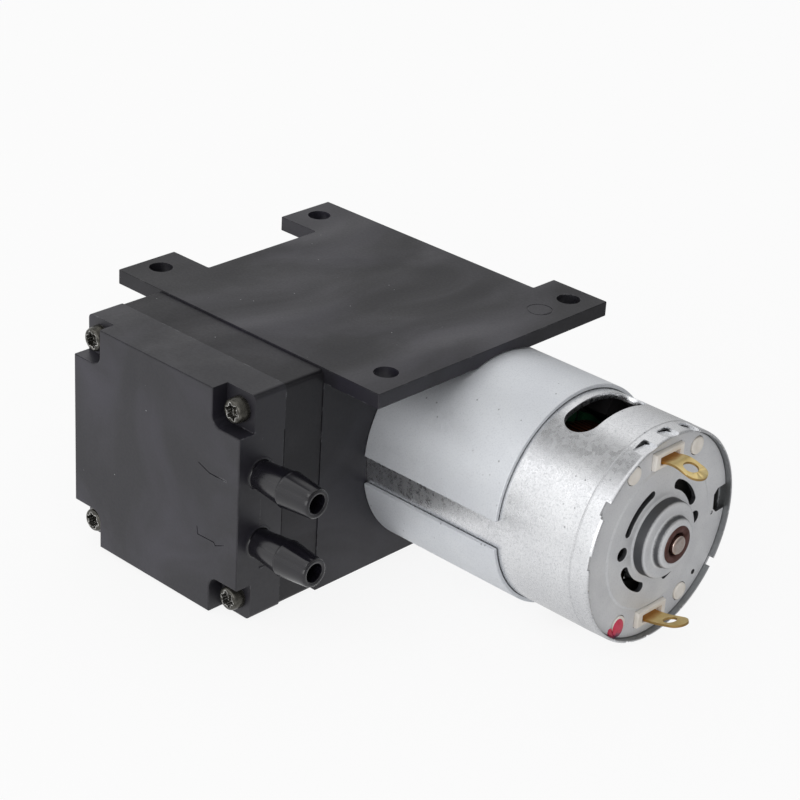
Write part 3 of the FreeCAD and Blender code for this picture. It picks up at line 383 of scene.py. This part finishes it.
def brass_strip(name):
    """Stamped brass: pale yellow and soft, browned at its sheared edges, with amber flux at the
    root."""
    made, tree, shader, where, facing = started(name, Metallic=0.6)
    fine = add(tree, "TexNoise", where, Scale=per(0.3), Detail=5.0)
    wide = add(tree, "TexNoise", where, Scale=per(2.5), Detail=4.0)
    patchy = add(tree, "MapRange", wide, 0.35, 0.65, 0.0, 1.0)
    tone = add(tree, "Mix", patchy, paint("#f2dda0"), paint("#e2c581"), data_type="RGBA")
    side = add(tree, "SeparateXYZ", facing).node.outputs["Z"]
    cut = add(tree, "MapRange", add(tree, "Math", side, operation="ABSOLUTE"), 0.3, 0.75, 0.8, 0.0)
    tone = add(tree, "Mix", cut, tone, paint("#8f6a30"), data_type="RGBA")
    ragged = add(tree, "MapRange", wide, 0.3, 0.7, -0.0006, 0.0006)
    along = add(tree, "Math", add(tree, "SeparateXYZ", where), ragged, operation="ADD")
    flux = add(tree, "MapRange", along, 0.0657, 0.0669, 0.85, 0.0)
    tone = add(tree, "Mix", flux, tone, paint("#b5782a"), data_type="RGBA")
    linked(tree, shader, Base_Color=tone, Roughness=add(tree, "MapRange", fine, 0.3, 0.7, 0.3, 0.46),
           Normal=add(tree, "Bump", Height=wide, Strength=0.25, Distance=0.0002))
    return made


def shaft_steel(name):
    """Ground steel: bright and ringed by the wheel, with a painted reflection of the bronze bush, pinkish
    brown, over its end.
    """
    made, tree, shader, where, _ = started(name, Metallic=1.0)
    around = add(tree, "Mapping", where, Scale=(1.0, 0.05, 0.05))
    rings = add(tree, "TexNoise", around, Scale=per(0.2), Detail=3.0)
    end_patches = add(tree, "TexNoise", where, Scale=per(1.1), Detail=4.0)
    # Painted reflection: past the bush the end is tinted pinkish brown in patches
    at_end = add(tree, "MapRange", add(tree, "SeparateXYZ", where), 0.0686, 0.0692, 0.0, 1.0)
    patchy = add(tree, "MapRange", end_patches, 0.3, 0.6, 0.45, 1.0)
    painted_end_tint = add(tree, "Math", at_end, patchy, operation="MULTIPLY")
    tone = add(tree, "Mix", painted_end_tint, paint("#d3d1ce"), paint("#c2afa6"), data_type="RGBA")
    linked(tree, shader, Base_Color=tone, Roughness=add(tree, "MapRange", rings, 0.3, 0.7, 0.14, 0.26),
           Normal=add(tree, "Bump", Height=rings, Strength=0.1, Distance=0.00005))
    return made


def screw_steel(name):
    """Black-zinc screw steel: olive grey, rubbed bright along the rim and the recess, partly as painted
    glints.
    """
    made, tree, shader, where, _ = started(name, Metallic=0.65)
    fine = add(tree, "TexNoise", where, Scale=per(0.25), Detail=4.0)
    wide = add(tree, "TexNoise", where, Scale=per(0.9), Detail=5.0)
    patchy = add(tree, "MapRange", wide, 0.35, 0.65, 0.0, 1.0)
    tone = add(tree, "Mix", patchy, paint("#35342f"), paint("#4f4d47"), data_type="RGBA")
    bare = add(tree, "MapRange", wide, 0.38, 0.52, 0.0, 1.0)
    # Near-white on rounded edges: real rubbing, and painted highlights for the glints along them
    rubbed_and_glinting = add(tree, "Math", edges_for_wear_and_glints(tree, 0.3), bare, operation="MULTIPLY")
    tone = add(tree, "Mix", rubbed_and_glinting, tone, paint("#f4f3f0"), data_type="RGBA")
    linked(tree, shader, Base_Color=tone, Roughness=add(tree, "MapRange", fine, 0.3, 0.7, 0.2, 0.34),
           Normal=add(tree, "Bump", Height=fine, Strength=0.2, Distance=0.00004))
    return made


def dab_of_paint(name):
    """Brushed-on marking lacquer: thick and crimson in the middle, thin and pink at its edge,
    and purple where it ran down."""
    made, tree, shader, where, facing = started(name, IOR=1.5, Coat_Weight=0.3, Coat_Roughness=0.2)
    streaks = add(tree, "TexNoise", where, Scale=per(1.2), Detail=4.0, Distortion=1.0)
    streaky = add(tree, "MapRange", streaks, 0.4, 0.6, 0.0, 1.0)
    tone = add(tree, "Mix", streaky, paint("#d8103c"), paint("#da2c58"), data_type="RGBA")
    slope = add(tree, "MapRange", add(tree, "SeparateXYZ", facing), 0.55, 0.85, 1.0, 0.0)
    thin = add(tree, "MapRange", streaks, 0.45, 0.65, 0.0, 1.0)
    thin = add(tree, "Math", slope, thin, operation="MULTIPLY")
    tone = add(tree, "Mix", thin, tone, paint("#c98aa0"), data_type="RGBA")
    ragged = add(tree, "MapRange", streaks, 0.3, 0.7, -0.0006, 0.0006)
    height = add(tree, "SeparateXYZ", where).node.outputs["Z"]
    height = add(tree, "Math", height, ragged, operation="ADD")
    run = add(tree, "MapRange", height, -0.0353, -0.0344, 0.9, 0.0)
    tone = add(tree, "Mix", run, tone, paint("#6b2250"), data_type="RGBA")
    linked(tree, shader, Base_Color=tone,
           Roughness=add(tree, "MapRange", streaks, 0.3, 0.7, 0.32, 0.45))
    return made


def plain_metal(name, base, worn, rough, speck, bump=0.1):
    """A bare or plated metal whose tone and gloss vary a little over it."""
    made, tree, shader, where, _ = started(name, Metallic=1.0)
    fine = add(tree, "TexNoise", where, Scale=per(speck), Detail=4.0, Roughness=0.6)
    wide = add(tree, "TexNoise", where, Scale=per(speck * 14), Detail=3.0)
    patchy = add(tree, "MapRange", wide, 0.35, 0.68, 0.0, 1.0)
    tone = add(tree, "Mix", patchy, paint(base), paint(worn), data_type="RGBA")
    level = add(tree, "MapRange", fine, 0.3, 0.7, rough - 0.05, rough + 0.07)
    level = add(tree, "Math", level, add(tree, "MapRange", wide, 0.3, 0.7, -0.03, 0.09), operation="ADD")
    linked(tree, shader, Base_Color=tone, Roughness=level,
           Normal=add(tree, "Bump", Height=fine, Strength=bump, Distance=0.00003))
    return made


def plain_plastic(name, base, shade, rough, speck):
    """A moulded, pressed or rubbery surface with a soft grain and uneven tone."""
    made, tree, shader, where, _ = started(name)
    fine = add(tree, "TexNoise", where, Scale=per(speck), Detail=4.0)
    wide = add(tree, "TexNoise", where, Scale=per(speck * 10), Detail=2.0)
    patchy = add(tree, "MapRange", wide, 0.35, 0.65, 0.0, 1.0)
    tone = add(tree, "Mix", patchy, paint(base), paint(shade), data_type="RGBA")
    level = add(tree, "MapRange", fine, 0.3, 0.7, rough - 0.05, rough + 0.06)
    linked(tree, shader, Base_Color=tone, Roughness=level,
           Normal=add(tree, "Bump", Height=fine, Strength=0.15, Distance=0.00005))
    return made


def wound_wire(name):
    """Enamelled copper wire side by side: dark orange, glossy, ribbed at 0.45 mm, painted shade between."""
    made, tree, shader, where, _ = started(name, Metallic=0.6, Roughness=0.35, Coat_Weight=0.5,
                                           Coat_Roughness=0.15)
    strands = add(tree, "TexWave", where, Scale=per(0.45) / 6.28, Distortion=2.5, Detail=1.0,
                  Detail_Scale=0.3, bands_direction="Y").node.outputs["Fac"]
    # Painted shade: the dark bands of the wave darken the grooves between the strands
    tone = add(tree, "Mix", strands, paint("#1c0e08"), paint("#63351c"), data_type="RGBA")
    linked(tree, shader, Base_Color=tone,
           Normal=add(tree, "Bump", Height=strands, Strength=0.6, Distance=0.0002))
    return made


# The crankcase's coarse mould leaves it satin
black_case = moulded_nylon("nylon_black_moulded", "#17161c", "#282630", 0.46, 0.5, ior=1.46)
# The cover is a little paler and glossier than the layers behind it
black_cover = moulded_nylon("nylon_black_moulded_cover", "#1c1b22", "#2b2934", 0.44, 0.5)
# The nozzles come from a polished part of the mould and shine
black_nozzle = moulded_nylon("nylon_black_moulded_glossy", "#121117", "#1a191f", 0.22, 0.5, 0.02)
# The middle layer is the dullest
black_layer = moulded_nylon("nylon_black_moulded_matt", "#151419", "#25232b", 0.5, 0.5, ior=1.44)
# Drawing burnishes the zinc, so the can is bright and frosted
can_zinc = galvanised_steel("steel_galvanised_drawn", "#e2e3e6", "#bdbfc2", "#eaebed", 0.28, 0.3, 0.3,
                            inside="#a0a2a4")
# Rolled strip keeps its matt, bluish coat
ring_zinc = galvanised_steel("steel_zinc_rolled_strip", "#dadde2", "#cdd0d5", "#e0e3e7", 0.46, 0.25, 0.1,
                             metallic=0.45, bands=0.05, inside="#8c8e90")
plate_grey = stamped_plate("steel_stamped_passivated")
screw_black = screw_steel("steel_screw_black_zinc")
shaft_bright = shaft_steel("steel_shaft_ground")
# Sintered bronze is porous and soaks up oil: dull brown
bearing_bronze = plain_metal("bronze_sintered_oiled", "#7a5a56", "#5f433d", 0.48, 0.12, bump=0.5)
tab_brass = brass_strip("brass_stamped")
red_paint = dab_of_paint("lacquer_red_brushed")
# The carrier's ring, which shows only through the vents, is drawn dark grey-brown and matt
dark_ring_nylon = plain_plastic("nylon_natural_ring_dark", "#37342f", "#201f1d", 0.6, 0.4)
# Spring strip and turned segments go brown with use
spring_bronze = plain_metal("bronze_spring_strip", "#7a4c30", "#5e3a26", 0.34, 0.3)
segment_copper = plain_metal("copper_turned_segments", "#6b4230", "#3c2a22", 0.34, 0.2)
# Turned, ground and stamped metals: brighter the finer the tool
hub_brass = plain_metal("brass_turned", "#c2a56a", "#b09358", 0.24, 0.2)
core_steel = plain_metal("steel_core_stampings", "#6b6b6c", "#57514d", 0.45, 0.3)
bright_steel = plain_metal("steel_bearing_ground", "#bdbec0", "#adafb1", 0.16, 0.15)
disc_alloy = plain_metal("aluminium_turned", "#b9babc", "#a8a9ab", 0.28, 0.2)
# Moulded nylon in its own colour is warm white, acetal a colder one
white_nylon = plain_plastic("nylon_natural_moulded", "#f5f0e9", "#ebe4da", 0.42, 0.3)
rod_white = plain_plastic("acetal_white_moulded", "#dedcd5", "#d2cfc6", 0.38, 0.4)
# Fibre board, rubber, pressed carbon and ground ferrite are matt
green_board = plain_plastic("fibre_board_green", "#1f5c3a", "#174a2e", 0.5, 0.4)
rubber = plain_plastic("rubber_black_moulded", "#1d1d1e", "#262627", 0.62, 0.3)
brush_carbon = plain_plastic("carbon_pressed", "#27272a", "#323236", 0.55, 0.2)
ferrite = plain_plastic("ferrite_ground", "#2b2a2b", "#363536", 0.5, 0.5)
copper_wire = wound_wire("copper_wire_enamelled")

# Frame nodes that are shown as they are, most of them inside
for name, finish in {
    "inlet_valve": rubber, "outlet_valve": rubber, "port_gasket": rubber, "diaphragm": rubber,
    "motor_screws": screw_black, "magnets": ferrite, "front_bearing": bearing_bronze,
    "brushes": brush_carbon, "brush_arms": spring_bronze, "armature_core": core_steel,
    "armature_insulators": green_board, "windings": copper_wire, "shaft_spacers": white_nylon,
    "commutator": segment_copper, "eccentric": hub_brass, "eccentric_set_screw": screw_black,
    "bearing_inner_ring": bright_steel, "bearing_outer_ring": bright_steel, "bearing_balls": bright_steel,
    "connecting_rod": rod_white, "clamp_disc": disc_alloy, "diaphragm_screw": screw_black,
}.items():
    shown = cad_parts[name]
    shown.data.materials.clear()
    shown.data.materials.append(finish)


# Head and crankcase

def groove(path):
    """Cutters for a flow mark along a path on the cover's front face."""
    half = MARK_WIDTH / 2
    cutters = []
    for (x0, z0), (x1, z1) in zip(path, path[1:]):
        length = math.hypot(x1 - x0, z1 - z0)
        lean = math.degrees(math.atan2(z1 - z0, x1 - x0))
        run = block((-half, length + half), (COVER_FACE - 1, COVER_FACE + MARK_DEPTH), (-half, half))
        cutters.append(moved(run, (x0, 0, z0), -lean, "Y"))
    return cutters


def crankcase():
    """Crankcase with its mounting plate, and the ring that an ejector pin left near the ear."""
    ring = turned([(0, 2.0), (0, 2.18), (0.6, 2.18), (0.6, 2.0)], 48)
    ring = moved(moved(ring, turn=-90, axis="Y"), (*EJECTOR_RING, DROP - 0.06))
    shape = worked(from_frame("crankcase"), [ring])
    return placed("crankcase_moulding", shape, black_case, ["crankcase"], edge=0.14)


def valve_body():
    """Middle layer of the head."""
    return placed("valve_body_moulding", from_frame("valve_body"), black_layer, ["valve_body"],
                  edge=0.14)


def cover():
    """Cover with its nozzles cut off at the face they leave, and two flow marks in its front."""
    shape = from_frame("head_cover")
    everything = shape.verts[:] + shape.edges[:] + shape.faces[:]
    bmesh.ops.bisect_plane(shape, geom=everything, plane_co=(HEAD_SIDE + 0.02, 0, 0), plane_no=(1, 0, 0),
                           clear_outer=True)
    for height in NOZZLE_HEIGHTS:
        rims = [edge for edge in shape.edges
                if edge.is_boundary and abs(edge.verts[0].co.z - height) < 4]
        bmesh.ops.bridge_loops(shape, edges=rims)
    for vert in shape.verts:
        if abs(vert.co.y - COVER_BACK) < 0.02:
            vert.co.y = COVER_BACK - COVER_SEAM
    marks = groove(UPPER_MARK) + groove(LOWER_MARK)
    return placed("head_cover_moulding", worked(shape, marks), black_cover, ["head_cover"],
                  edge=0.14)


def nozzle(height):
    """Hose nozzle: small flared foot, a swelling to a short ridge, and a taper to the rounded tip."""
    flare = 0.35
    foot = [(HEAD_SIDE + flare - flare * math.cos(turn), 2.72 - flare * math.sin(turn))
            for turn in (math.radians(12.0 * step) for step in range(8))]
    barrel = [(1.8, 2.47), (4.0, 2.72), (6.2, 2.9), (6.3, 3.02), (6.4, 3.05), (6.7, 3.05), (6.82, 3.0),
              (9.2, 2.75), (11.5, 2.5), (12.2, 2.42), (12.42, 2.34), (12.52, 2.2), (12.55, 2.05),
              (12.5, 1.72), (12.35, NOZZLE_BORE)]
    profile = [(HEAD_SIDE - 0.4, NOZZLE_BORE), (HEAD_SIDE - 0.4, 2.73)] + foot
    profile += [(HEAD_SIDE + along, radius) for along, radius in barrel]
    return moved(turned(profile, 72), (0, NOZZLE_Y, height))


def head_screw():
    """Pan-head screw with a six-lobed recess and its shank, along X."""
    top = NOTCH_FLOOR - 2.0
    profile = [(top + 0.04, 0), (top, 1.4), (top + 0.04, 1.68), (top + 0.16, 1.84), (top + 0.4, 1.95),
               (top + 1.3, 2.07), (top + 1.9, 2.1), (NOTCH_FLOOR, 2.05), (NOTCH_FLOOR, 1.2), (-23.6, 1.2),
               (-22.9, 0.5), (-22.9, 0)]
    recess = (top - 0.5, top + 1.2)
    tools = [drum(1.1, recess, 36)]
    for turn in range(10, 370, 60):
        tools.append(moved(moved(drum(0.32, recess, 20), (0, 1.11, 0)), turn=turn))
    return worked(turned(profile, 48, closed=False), tools)


def cap():
    """Round cap of the crank chamber, with a shallow ring turned into it."""
    profile = [(-19.6, 0), (-19.6, 15.2), (-19.35, 15.3), (-19.35, 15.6), (-19.6, 15.7), (-19.6, 16.7),
               (-19.35, 16.95), (-17.4, 16.95), (-17.4, 0)]
    return placed("crankcase_cap_moulding", turned(profile, 128, closed=False), black_case,
                  ["crankcase_cap"], edge=0.06)


crankcase()
valve_body()
cap()
cover()
for index, height in enumerate(NOZZLE_HEIGHTS):
    placed("hose_nozzle_%d" % index, nozzle(height), black_nozzle, edge=0)
screw = head_screw()
screws = [moved(moved(screw.copy(), turn=90, axis="Z"), (x, 0, z)) for x, z in SCREW_PLACES]
placed("head_screws_panhead", joined(screws), screw_black, ["head_screws"], edge=0.05)


# Motor

def arc_slot(x, circle, width, middle, half_span):
    """Cutter for a curved slot about the shaft, with round ends."""
    low = circle - width / 2
    high = circle + width / 2
    around = turned([(x[0], low), (x[1], low), (x[1], high), (x[0], high)], 32, sweep=2 * half_span)
    tools = [moved(around, turn=middle - half_span)]
    for side in (-half_span, half_span):
        tools.append(moved(moved(drum(width / 2, x, 24), (0, circle, 0)), turn=middle + side))
    return tools


def window(middle):
    """Cutters for one long window through the can's wall."""
    radii = (CAN_INNER - 1, CAN + 1)
    front, rear = WINDOW_X
    outline = [(front, radii[0]), (rear, radii[0]), (rear, radii[1]), (front, radii[1])]
    tools = [moved(turned(outline, 48, sweep=WINDOW_SPAN), turn=middle - WINDOW_SPAN / 2)]
    for side in (-WINDOW_SPAN / 2, WINDOW_SPAN / 2):
        end = moved(drum((rear - front) / 2, radii, 48), turn=90, axis="Z")
        tools.append(moved(moved(end, ((front + rear) / 2, 0, 0)), turn=middle + side))
    return tools


def lance(angle, radii):
    """Cutters for one tongue pressed in over the end plate: the wedge that the punch sank, and
    the sheared line behind it, which narrows to one side."""
    wedge = moved(moved(block((-2.1, 0.4), (0.0, 1.5), (-2.48, 0.3)), turn=4, axis="Z"), turn=-9)
    wedge = moved(wedge, (65.6, 17.76, 1.24))
    shear = block((63.42, 63.95), radii, (-1.24, 0.9))
    for vert in shear.verts:
        if vert.co.x > 63.9 and vert.co.z > 0:
            vert.co.x = 63.5
    return [moved(wedge, turn=angle), moved(shear, turn=angle)]


def torn_nicks(radii):
    """One cutter for the small uneven nicks along the rim's edge. They don't overlap."""
    nicks = []
    for index in range(NICKS):
        depth = 0.02 + 0.09 * abs(math.sin(index * 2.3)) ** 2
        nick = block((RIM - depth, RIM + 1), radii, (-0.12 - 0.25 * abs(math.sin(index * 1.7)), 0.14))
        nicks.append(moved(nick, turn=index * 360.0 / NICKS + 2.4 * math.sin(index * 3.1)))
    return joined(nicks)


def can():
    """Drawn can: a line and a slightly tapered band behind the rim, two windows, tongues pressed
    in over the end plate, and notches and torn nicks in the rim."""
    profile = [
        (CAN_FRONT, 2.6), (CAN_FRONT, 6.1), (4.72, 6.38), (5.0, 6.5), (9.0, 6.5), (9.0, 16.9), (9.3, 17.6),
        (10.0, CAN), (30.0, CAN), (62.35, CAN), (62.45, 17.8), (62.58, 17.8), (62.7, 17.88), (65.4, 17.83),
        (65.75, 17.78), (65.93, 17.66), (RIM, 17.55), (RIM, 17.48), (65.93, 17.36), (65.8, RIM_INNER),
        (63.9, RIM_INNER), (63.9, CAN_INNER), (10.2, CAN_INNER), (10.2, 5.4), (5.6, 5.4), (5.6, 2.6),
    ]
    radii = (CAN_INNER - 0.6, CAN + 1)
    tools = window(90.0) + window(270.0)
    for angle, width, depth in NOTCHES:
        tools.append(moved(block((RIM - depth, RIM + 1), radii, (-width / 2, width / 2)), turn=angle))
    for angle in LANCES:
        tools += lance(angle, radii)
    shape = worked(turned(profile, 200), tools + [torn_nicks(radii)])
    return placed("motor_can_drawn", shape, can_zinc, ["motor_can"], edge=0.1)


def flux_ring():
    """Split sleeve of thicker strip, its gap facing the head."""
    profile = [(19.62, 17.95), (47.9, 17.95), (47.9, 18.65), (19.62, 18.65)]
    shape = moved(turned(profile, 180, sweep=360.0 - RING_GAP_SPAN), turn=RING_GAP + RING_GAP_SPAN / 2)
    return placed("flux_ring_rolled", shape, ring_zinc, ["flux_ring"], edge=0.16, segments=3)


def end_plate():
    """Stamped end plate: raised middle, bearing boss and collar, vents, slots and peg holes."""
    profile = [
        (64.5, 5.4), (64.5, 17.3), (64.85, 17.3), (END_FACE, 17.15), (END_FACE, 12.6), (65.06, 12.42),
        (65.19, 12.26), (RAISED_FACE, 12.1), (RAISED_FACE, 7.0), (65.32, 6.75), (65.55, 6.52), (66.9, 6.42),
        (67.2, 6.3), (67.36, 6.05), (67.4, 5.8), (67.4, 4.85), (67.46, 4.55), (67.65, 4.36), (68.0, 4.28),
        (68.35, 4.2), (68.62, 4.04), (68.8, 3.8), (68.88, 3.5), (68.9, 3.2), (68.84, 3.1), (66.4, 3.1),
        (66.4, 5.4),
    ]
    through = (END_FACE - 2.5, END_FACE + 1)
    tools = [moved(drum(1.62, through, 40), (0, y, z)) for y, z in PEG_PLACES]
    for turn in (0.0, 180.0):
        tools += arc_slot(through, SLOT_CIRCLE, 1.7, 45.0 + turn, 21.0)
        tools += arc_slot(through, SLOT_CIRCLE, 1.3, 133.5 + turn, 24.5)
        tools.append(moved(moved(drum(1.15, through, 32), (0, 8.9, 0)), turn=turn))
        tools.append(moved(block(through, (-3.58, 3.58), (12.42, 15.38)), turn=turn))
    notch = block(through, (14.2, 18.0), (-2.2, 2.2))
    inner = [edge for edge in notch.edges
             if max(v.co.y for v in edge.verts) < 15 and edge.verts[0].co.z * edge.verts[1].co.z > 0]
    tools.append(moved(rounded(notch, 0.9, 1, inner), turn=3.0))
    tools.append(moved(moved(drum(0.45, (END_FACE - 0.5, END_FACE + 1), 24), (0, 15.3, 0)), turn=315.3))
    tools.append(moved(moved(drum(0.35, (END_FACE - 0.15, END_FACE + 1), 20), (0, 14.0, 0)), turn=355.5))
    shape = worked(turned(profile, 160), tools)
    lugs = [moved(block((64.2, END_FACE - 0.02), (16.9, 17.75), (-half, half)), turn=turn)
            for turn, half in LUGS]
    strip = turned([(63.1, 15.5), (63.5, 15.5), (63.5, 15.8), (63.1, 15.8)], 20, sweep=15.0)
    shape = joined([shape, moved(strip, turn=-3.8)] + lugs)
    return placed("end_plate_stamped", shape, plate_grey, ["end_plate"], edge=0.09)


def carrier():
    """White carrier behind the end plate: its dark grey-brown ring, four rivet pegs and the two tab blocks.
    """
    ring = turned([(61.5, 8.7), (61.5, 16.8), (62.8, 16.8), (62.8, 8.7)], 96)
    placed("brush_carrier_ring", ring, dark_ring_nylon, edge=0.06)
    pegs = []
    for y, z in PEG_PLACES:
        peg = turned([(63.4, 0), (63.4, 1.5), (65.12, 1.5), (65.21, 1.46), (RAISED_FACE, 1.36),
                      (RAISED_FACE, 0.5), (65.2, 0.35), (65.2, 0)], 40, closed=False)
        pegs.append(moved(peg, (0, y, z)))
    blocks = []
    for turn in (0.0, 180.0):
        body = block((63.4, BLOCK_FACE), (-3.5, 3.5), (12.5, 15.3))
        body = rounded(body, 0.35, 3, [e for e in body.edges if min(v.co.x for v in e.verts) > END_FACE])
        pocket = block((BLOCK_FACE - 0.9, BLOCK_FACE + 1), (-2.4, 2.4), (TAB_HEIGHT - 0.7, TAB_HEIGHT + 0.7))
        blocks.append(moved(worked(body, [pocket]), turn=turn))
    return placed("brush_carrier_moulding", joined(pegs + blocks), white_nylon, ["brush_carrier"],
                  edge=0.06)


def paint_dabs():
    """Red paint over the lower left peg, and the two smaller dabs that it ran down into."""
    dabs = []
    for y, z, wide, tall, lean in PAINT_DABS:
        dab = bmesh.new()
        bmesh.ops.create_uvsphere(dab, u_segments=28, v_segments=14, radius=1.0)
        bmesh.ops.scale(dab, vec=(0.16, wide, tall), verts=dab.verts)
        low = RAISED_FACE - 0.03 if wide > 1.2 else END_FACE
        dabs.append(moved(moved(dab, turn=lean), (low, y, z)))
    return placed("paint_dab_red", joined(dabs), red_paint, edge=0)


def solder_tab(name, turn, root, bends, half_width, eye, node):
    """Stamped brass tab with an eye; each bend is a place along it and the degrees it drops by."""
    half = 0.2
    end = TAB_TIP - half_width
    shape = block((58.2, end + 0.01), (-half_width, half_width), (root - half, root + half))
    tip = turned([(-half, 0), (-half, half_width), (half, half_width), (half, 0)], 56, closed=False)
    tip = moved(moved(tip, turn=90, axis="Y"), (end, 0, root))
    hole = moved(moved(drum(eye[1], (-1, 1), 40), turn=90, axis="Y"), (BLOCK_FACE + eye[0], 0, root))
    shape = worked(worked(shape, [tip], "UNION"), [hole])
    for place, _ in bends:
        bmesh.ops.bisect_plane(shape, geom=shape.verts[:] + shape.edges[:] + shape.faces[:],
                               plane_co=(place, 0, 0), plane_no=(1, 0, 0))
    along = {vert: vert.co.x for vert in shape.verts}
    for place, drop in sorted(bends, reverse=True):
        beyond = [vert for vert in shape.verts if along[vert] > place + 0.001]
        bent = Matrix.Rotation(math.radians(drop), 3, "Y")
        bmesh.ops.rotate(shape, cent=(place, 0, root), matrix=bent, verts=beyond)
    return placed(name, moved(shape, turn=turn), tab_brass, [node], edge=0.08)


def bearing():
    """Sintered bush, flush in the collar, with a countersunk bore."""
    profile = [(62.9, 1.64), (62.9, 5.35), (66.3, 5.35), (66.35, 3.09), (68.92, 3.09), (69.0, 3.0),
               (69.0, 2.25), (68.92, 2.12), (68.45, 1.64)]
    return placed("rear_bearing_sintered", turned(profile, 72), bearing_bronze, ["rear_bearing"],
                  edge=0)


def shaft():
    """Ground shaft with a slightly crowned end."""
    profile = [(-7.6, 0), (-7.6, 1.3), (-7.3, 1.5875), (69.1, 1.5875), (69.28, 1.5), (69.43, 1.32),
               (69.54, 1.05), (69.61, 0.7), (69.64, 0.35), (69.65, 0)]
    return placed("motor_shaft_ground", turned(profile, 64, closed=False), shaft_bright, ["shaft"],
                  body="rotor", edge=0)


can()
flux_ring()
end_plate()
carrier()
paint_dabs()
arch = [(BLOCK_FACE, -15.0)] + [(66.5 + 0.3 * step, 30.0 / 9) for step in range(9)]
solder_tab("solder_tab_upper", 0.0, 13.65, arch, 2.05, (3.9, 1.25), "terminal_upper")
solder_tab("solder_tab_lower", 180.0, 14.3, [(BLOCK_FACE, 9.0), (67.0, 3.0), (68.0, 4.0)], 1.85, (3.6, 1.15),
           "terminal_lower")
bearing()
shaft()


# Floor, light and camera

def floor():
    """Pale floor under the crankcase's edge and the flux ring, on which the pump rests."""
    material = bpy.data.materials.new("paper_backdrop_white")
    material.use_nodes = True
    tree = material.node_tree
    tree.nodes.clear()
    rays = add(tree, "LightPath").node.outputs
    seen = add(tree, "Math", rays["Is Camera Ray"], rays["Is Glossy Ray"], operation="MAXIMUM")
    seen = add(tree, "Math", seen, rays["Is Transmission Ray"], operation="MAXIMUM")
    share = add(tree, "Math", seen, 0.88, operation="MULTIPLY")
    paper = add(tree, "BsdfDiffuse", Color=paint("#f4f4f4"))
    # Painted shade in reflections: behind the pump the floor glows less for glossy rays
    place = add(tree, "NewGeometry").node.outputs["Position"]
    behind = add(tree, "VectorMath", place, (0.67, 0.74, 0.0), operation="DOT_PRODUCT")
    painted_floor_shade = add(tree, "MapRange", behind, 0.0, 0.06, 1.0, 0.4)
    level = add(tree, "Mix", rays["Is Camera Ray"], painted_floor_shade, 1.0)
    glow = add(tree, "Emission", Color=paint("#ffffff"), Strength=level)
    add(tree, "OutputMaterial", Surface=add(tree, "MixShader", share, paper, glow))
    shape = bmesh.new()
    bmesh.ops.create_grid(shape, x_segments=1, y_segments=1, size=3.0)
    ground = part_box("crankcase")[0].z
    slope = math.atan2(0.75, 28.3)
    spot = Matrix.Translation((HEAD_SIDE / 1000, 0, ground)) @ Matrix.Rotation(-slope, 4, "Y")
    bmesh.ops.transform(shape, matrix=spot, verts=shape.verts)
    mesh = bpy.data.meshes.new("floor")
    shape.to_mesh(mesh)
    shape.free()
    mesh.materials.append(material)
    sheet = bpy.data.objects.new("floor", mesh)
    bpy.context.scene.collection.objects.link(sheet)


def sky():
    """Soft studio light: brightest from the front left and above, with a dim patch between the
    lamps overhead, and plain white where the camera sees it."""
    world = bpy.data.worlds.new("studio")
    world.use_nodes = True
    tree = world.node_tree
    tree.nodes.clear()
    way = add(tree, "TexCoord").node.outputs["Generated"]
    toward = Vector((-0.62, -0.55, 0.56)).normalized()
    lean = add(tree, "VectorMath", way, toward, operation="DOT_PRODUCT")
    level = add(tree, "MapRange", lean, -0.7, 1.0, 0.28, 1.12, interpolation_type="SMOOTHSTEP")
    between = Vector((-0.60, -0.12, 0.79)).normalized()
    lean = add(tree, "VectorMath", way, between, operation="DOT_PRODUCT")
    shade = add(tree, "MapRange", lean, 0.88, 0.97, 1.0, 0.3, interpolation_type="SMOOTHSTEP")
    level = add(tree, "Math", level, shade, operation="MULTIPLY")
    rays = add(tree, "LightPath").node.outputs
    seen = add(tree, "Math", rays["Is Camera Ray"], rays["Is Transmission Ray"], operation="MAXIMUM")
    strength = add(tree, "Mix", seen, level, 1.0)
    add(tree, "OutputWorld", Surface=add(tree, "Background", Color=paint("#ffffff"), Strength=strength))
    bpy.context.scene.world = world


def softbox(name, place, aim, size, power):
    """A square lamp that faces a point."""
    lamp = bpy.data.lights.new(name, "AREA")
    lamp.size = size
    lamp.energy = power
    box = bpy.data.objects.new(name, lamp)
    box.location = place
    box.rotation_euler = (Vector(aim) - Vector(place)).to_track_quat("-Z", "Y").to_euler()
    bpy.context.scene.collection.objects.link(box)


def camera():
    """Long lens at the photograph's angle."""
    azimuth, rise, roll = (math.radians(angle) for angle in (42.42332, 26.42344, 3.46704))
    back = Vector((math.sin(azimuth) * math.cos(rise), -math.cos(azimuth) * math.cos(rise), math.sin(rise)))
    level = Vector((math.cos(azimuth), math.sin(azimuth), 0))
    upright = back.cross(level)
    right = math.cos(roll) * level + math.sin(roll) * upright
    up = math.cos(roll) * upright - math.sin(roll) * level
    target = Vector((-122.59551, 144.71524, -115.83227))
    distance = 612.92316
    lens = bpy.data.cameras.new("camera")
    lens.lens = 105.49
    lens.sensor_width = 36.0
    view = bpy.data.objects.new("camera", lens)
    turn = Matrix((right, up, back)).transposed().to_4x4()
    view.matrix_world = Matrix.Translation((target + back * distance) / 1000) @ turn
    bpy.context.scene.collection.objects.link(view)
    bpy.context.scene.camera = view


floor()
sky()
softbox("key", (-0.35, -0.5, 0.55), (0.01, -0.01, -0.02), 0.5, 0.2)
softbox("fill", (0.15, -0.8, 0.05), (0.03, -0.01, -0.02), 0.6, 2.1)
camera()
bpy.context.scene.view_settings.view_transform = "Standard"
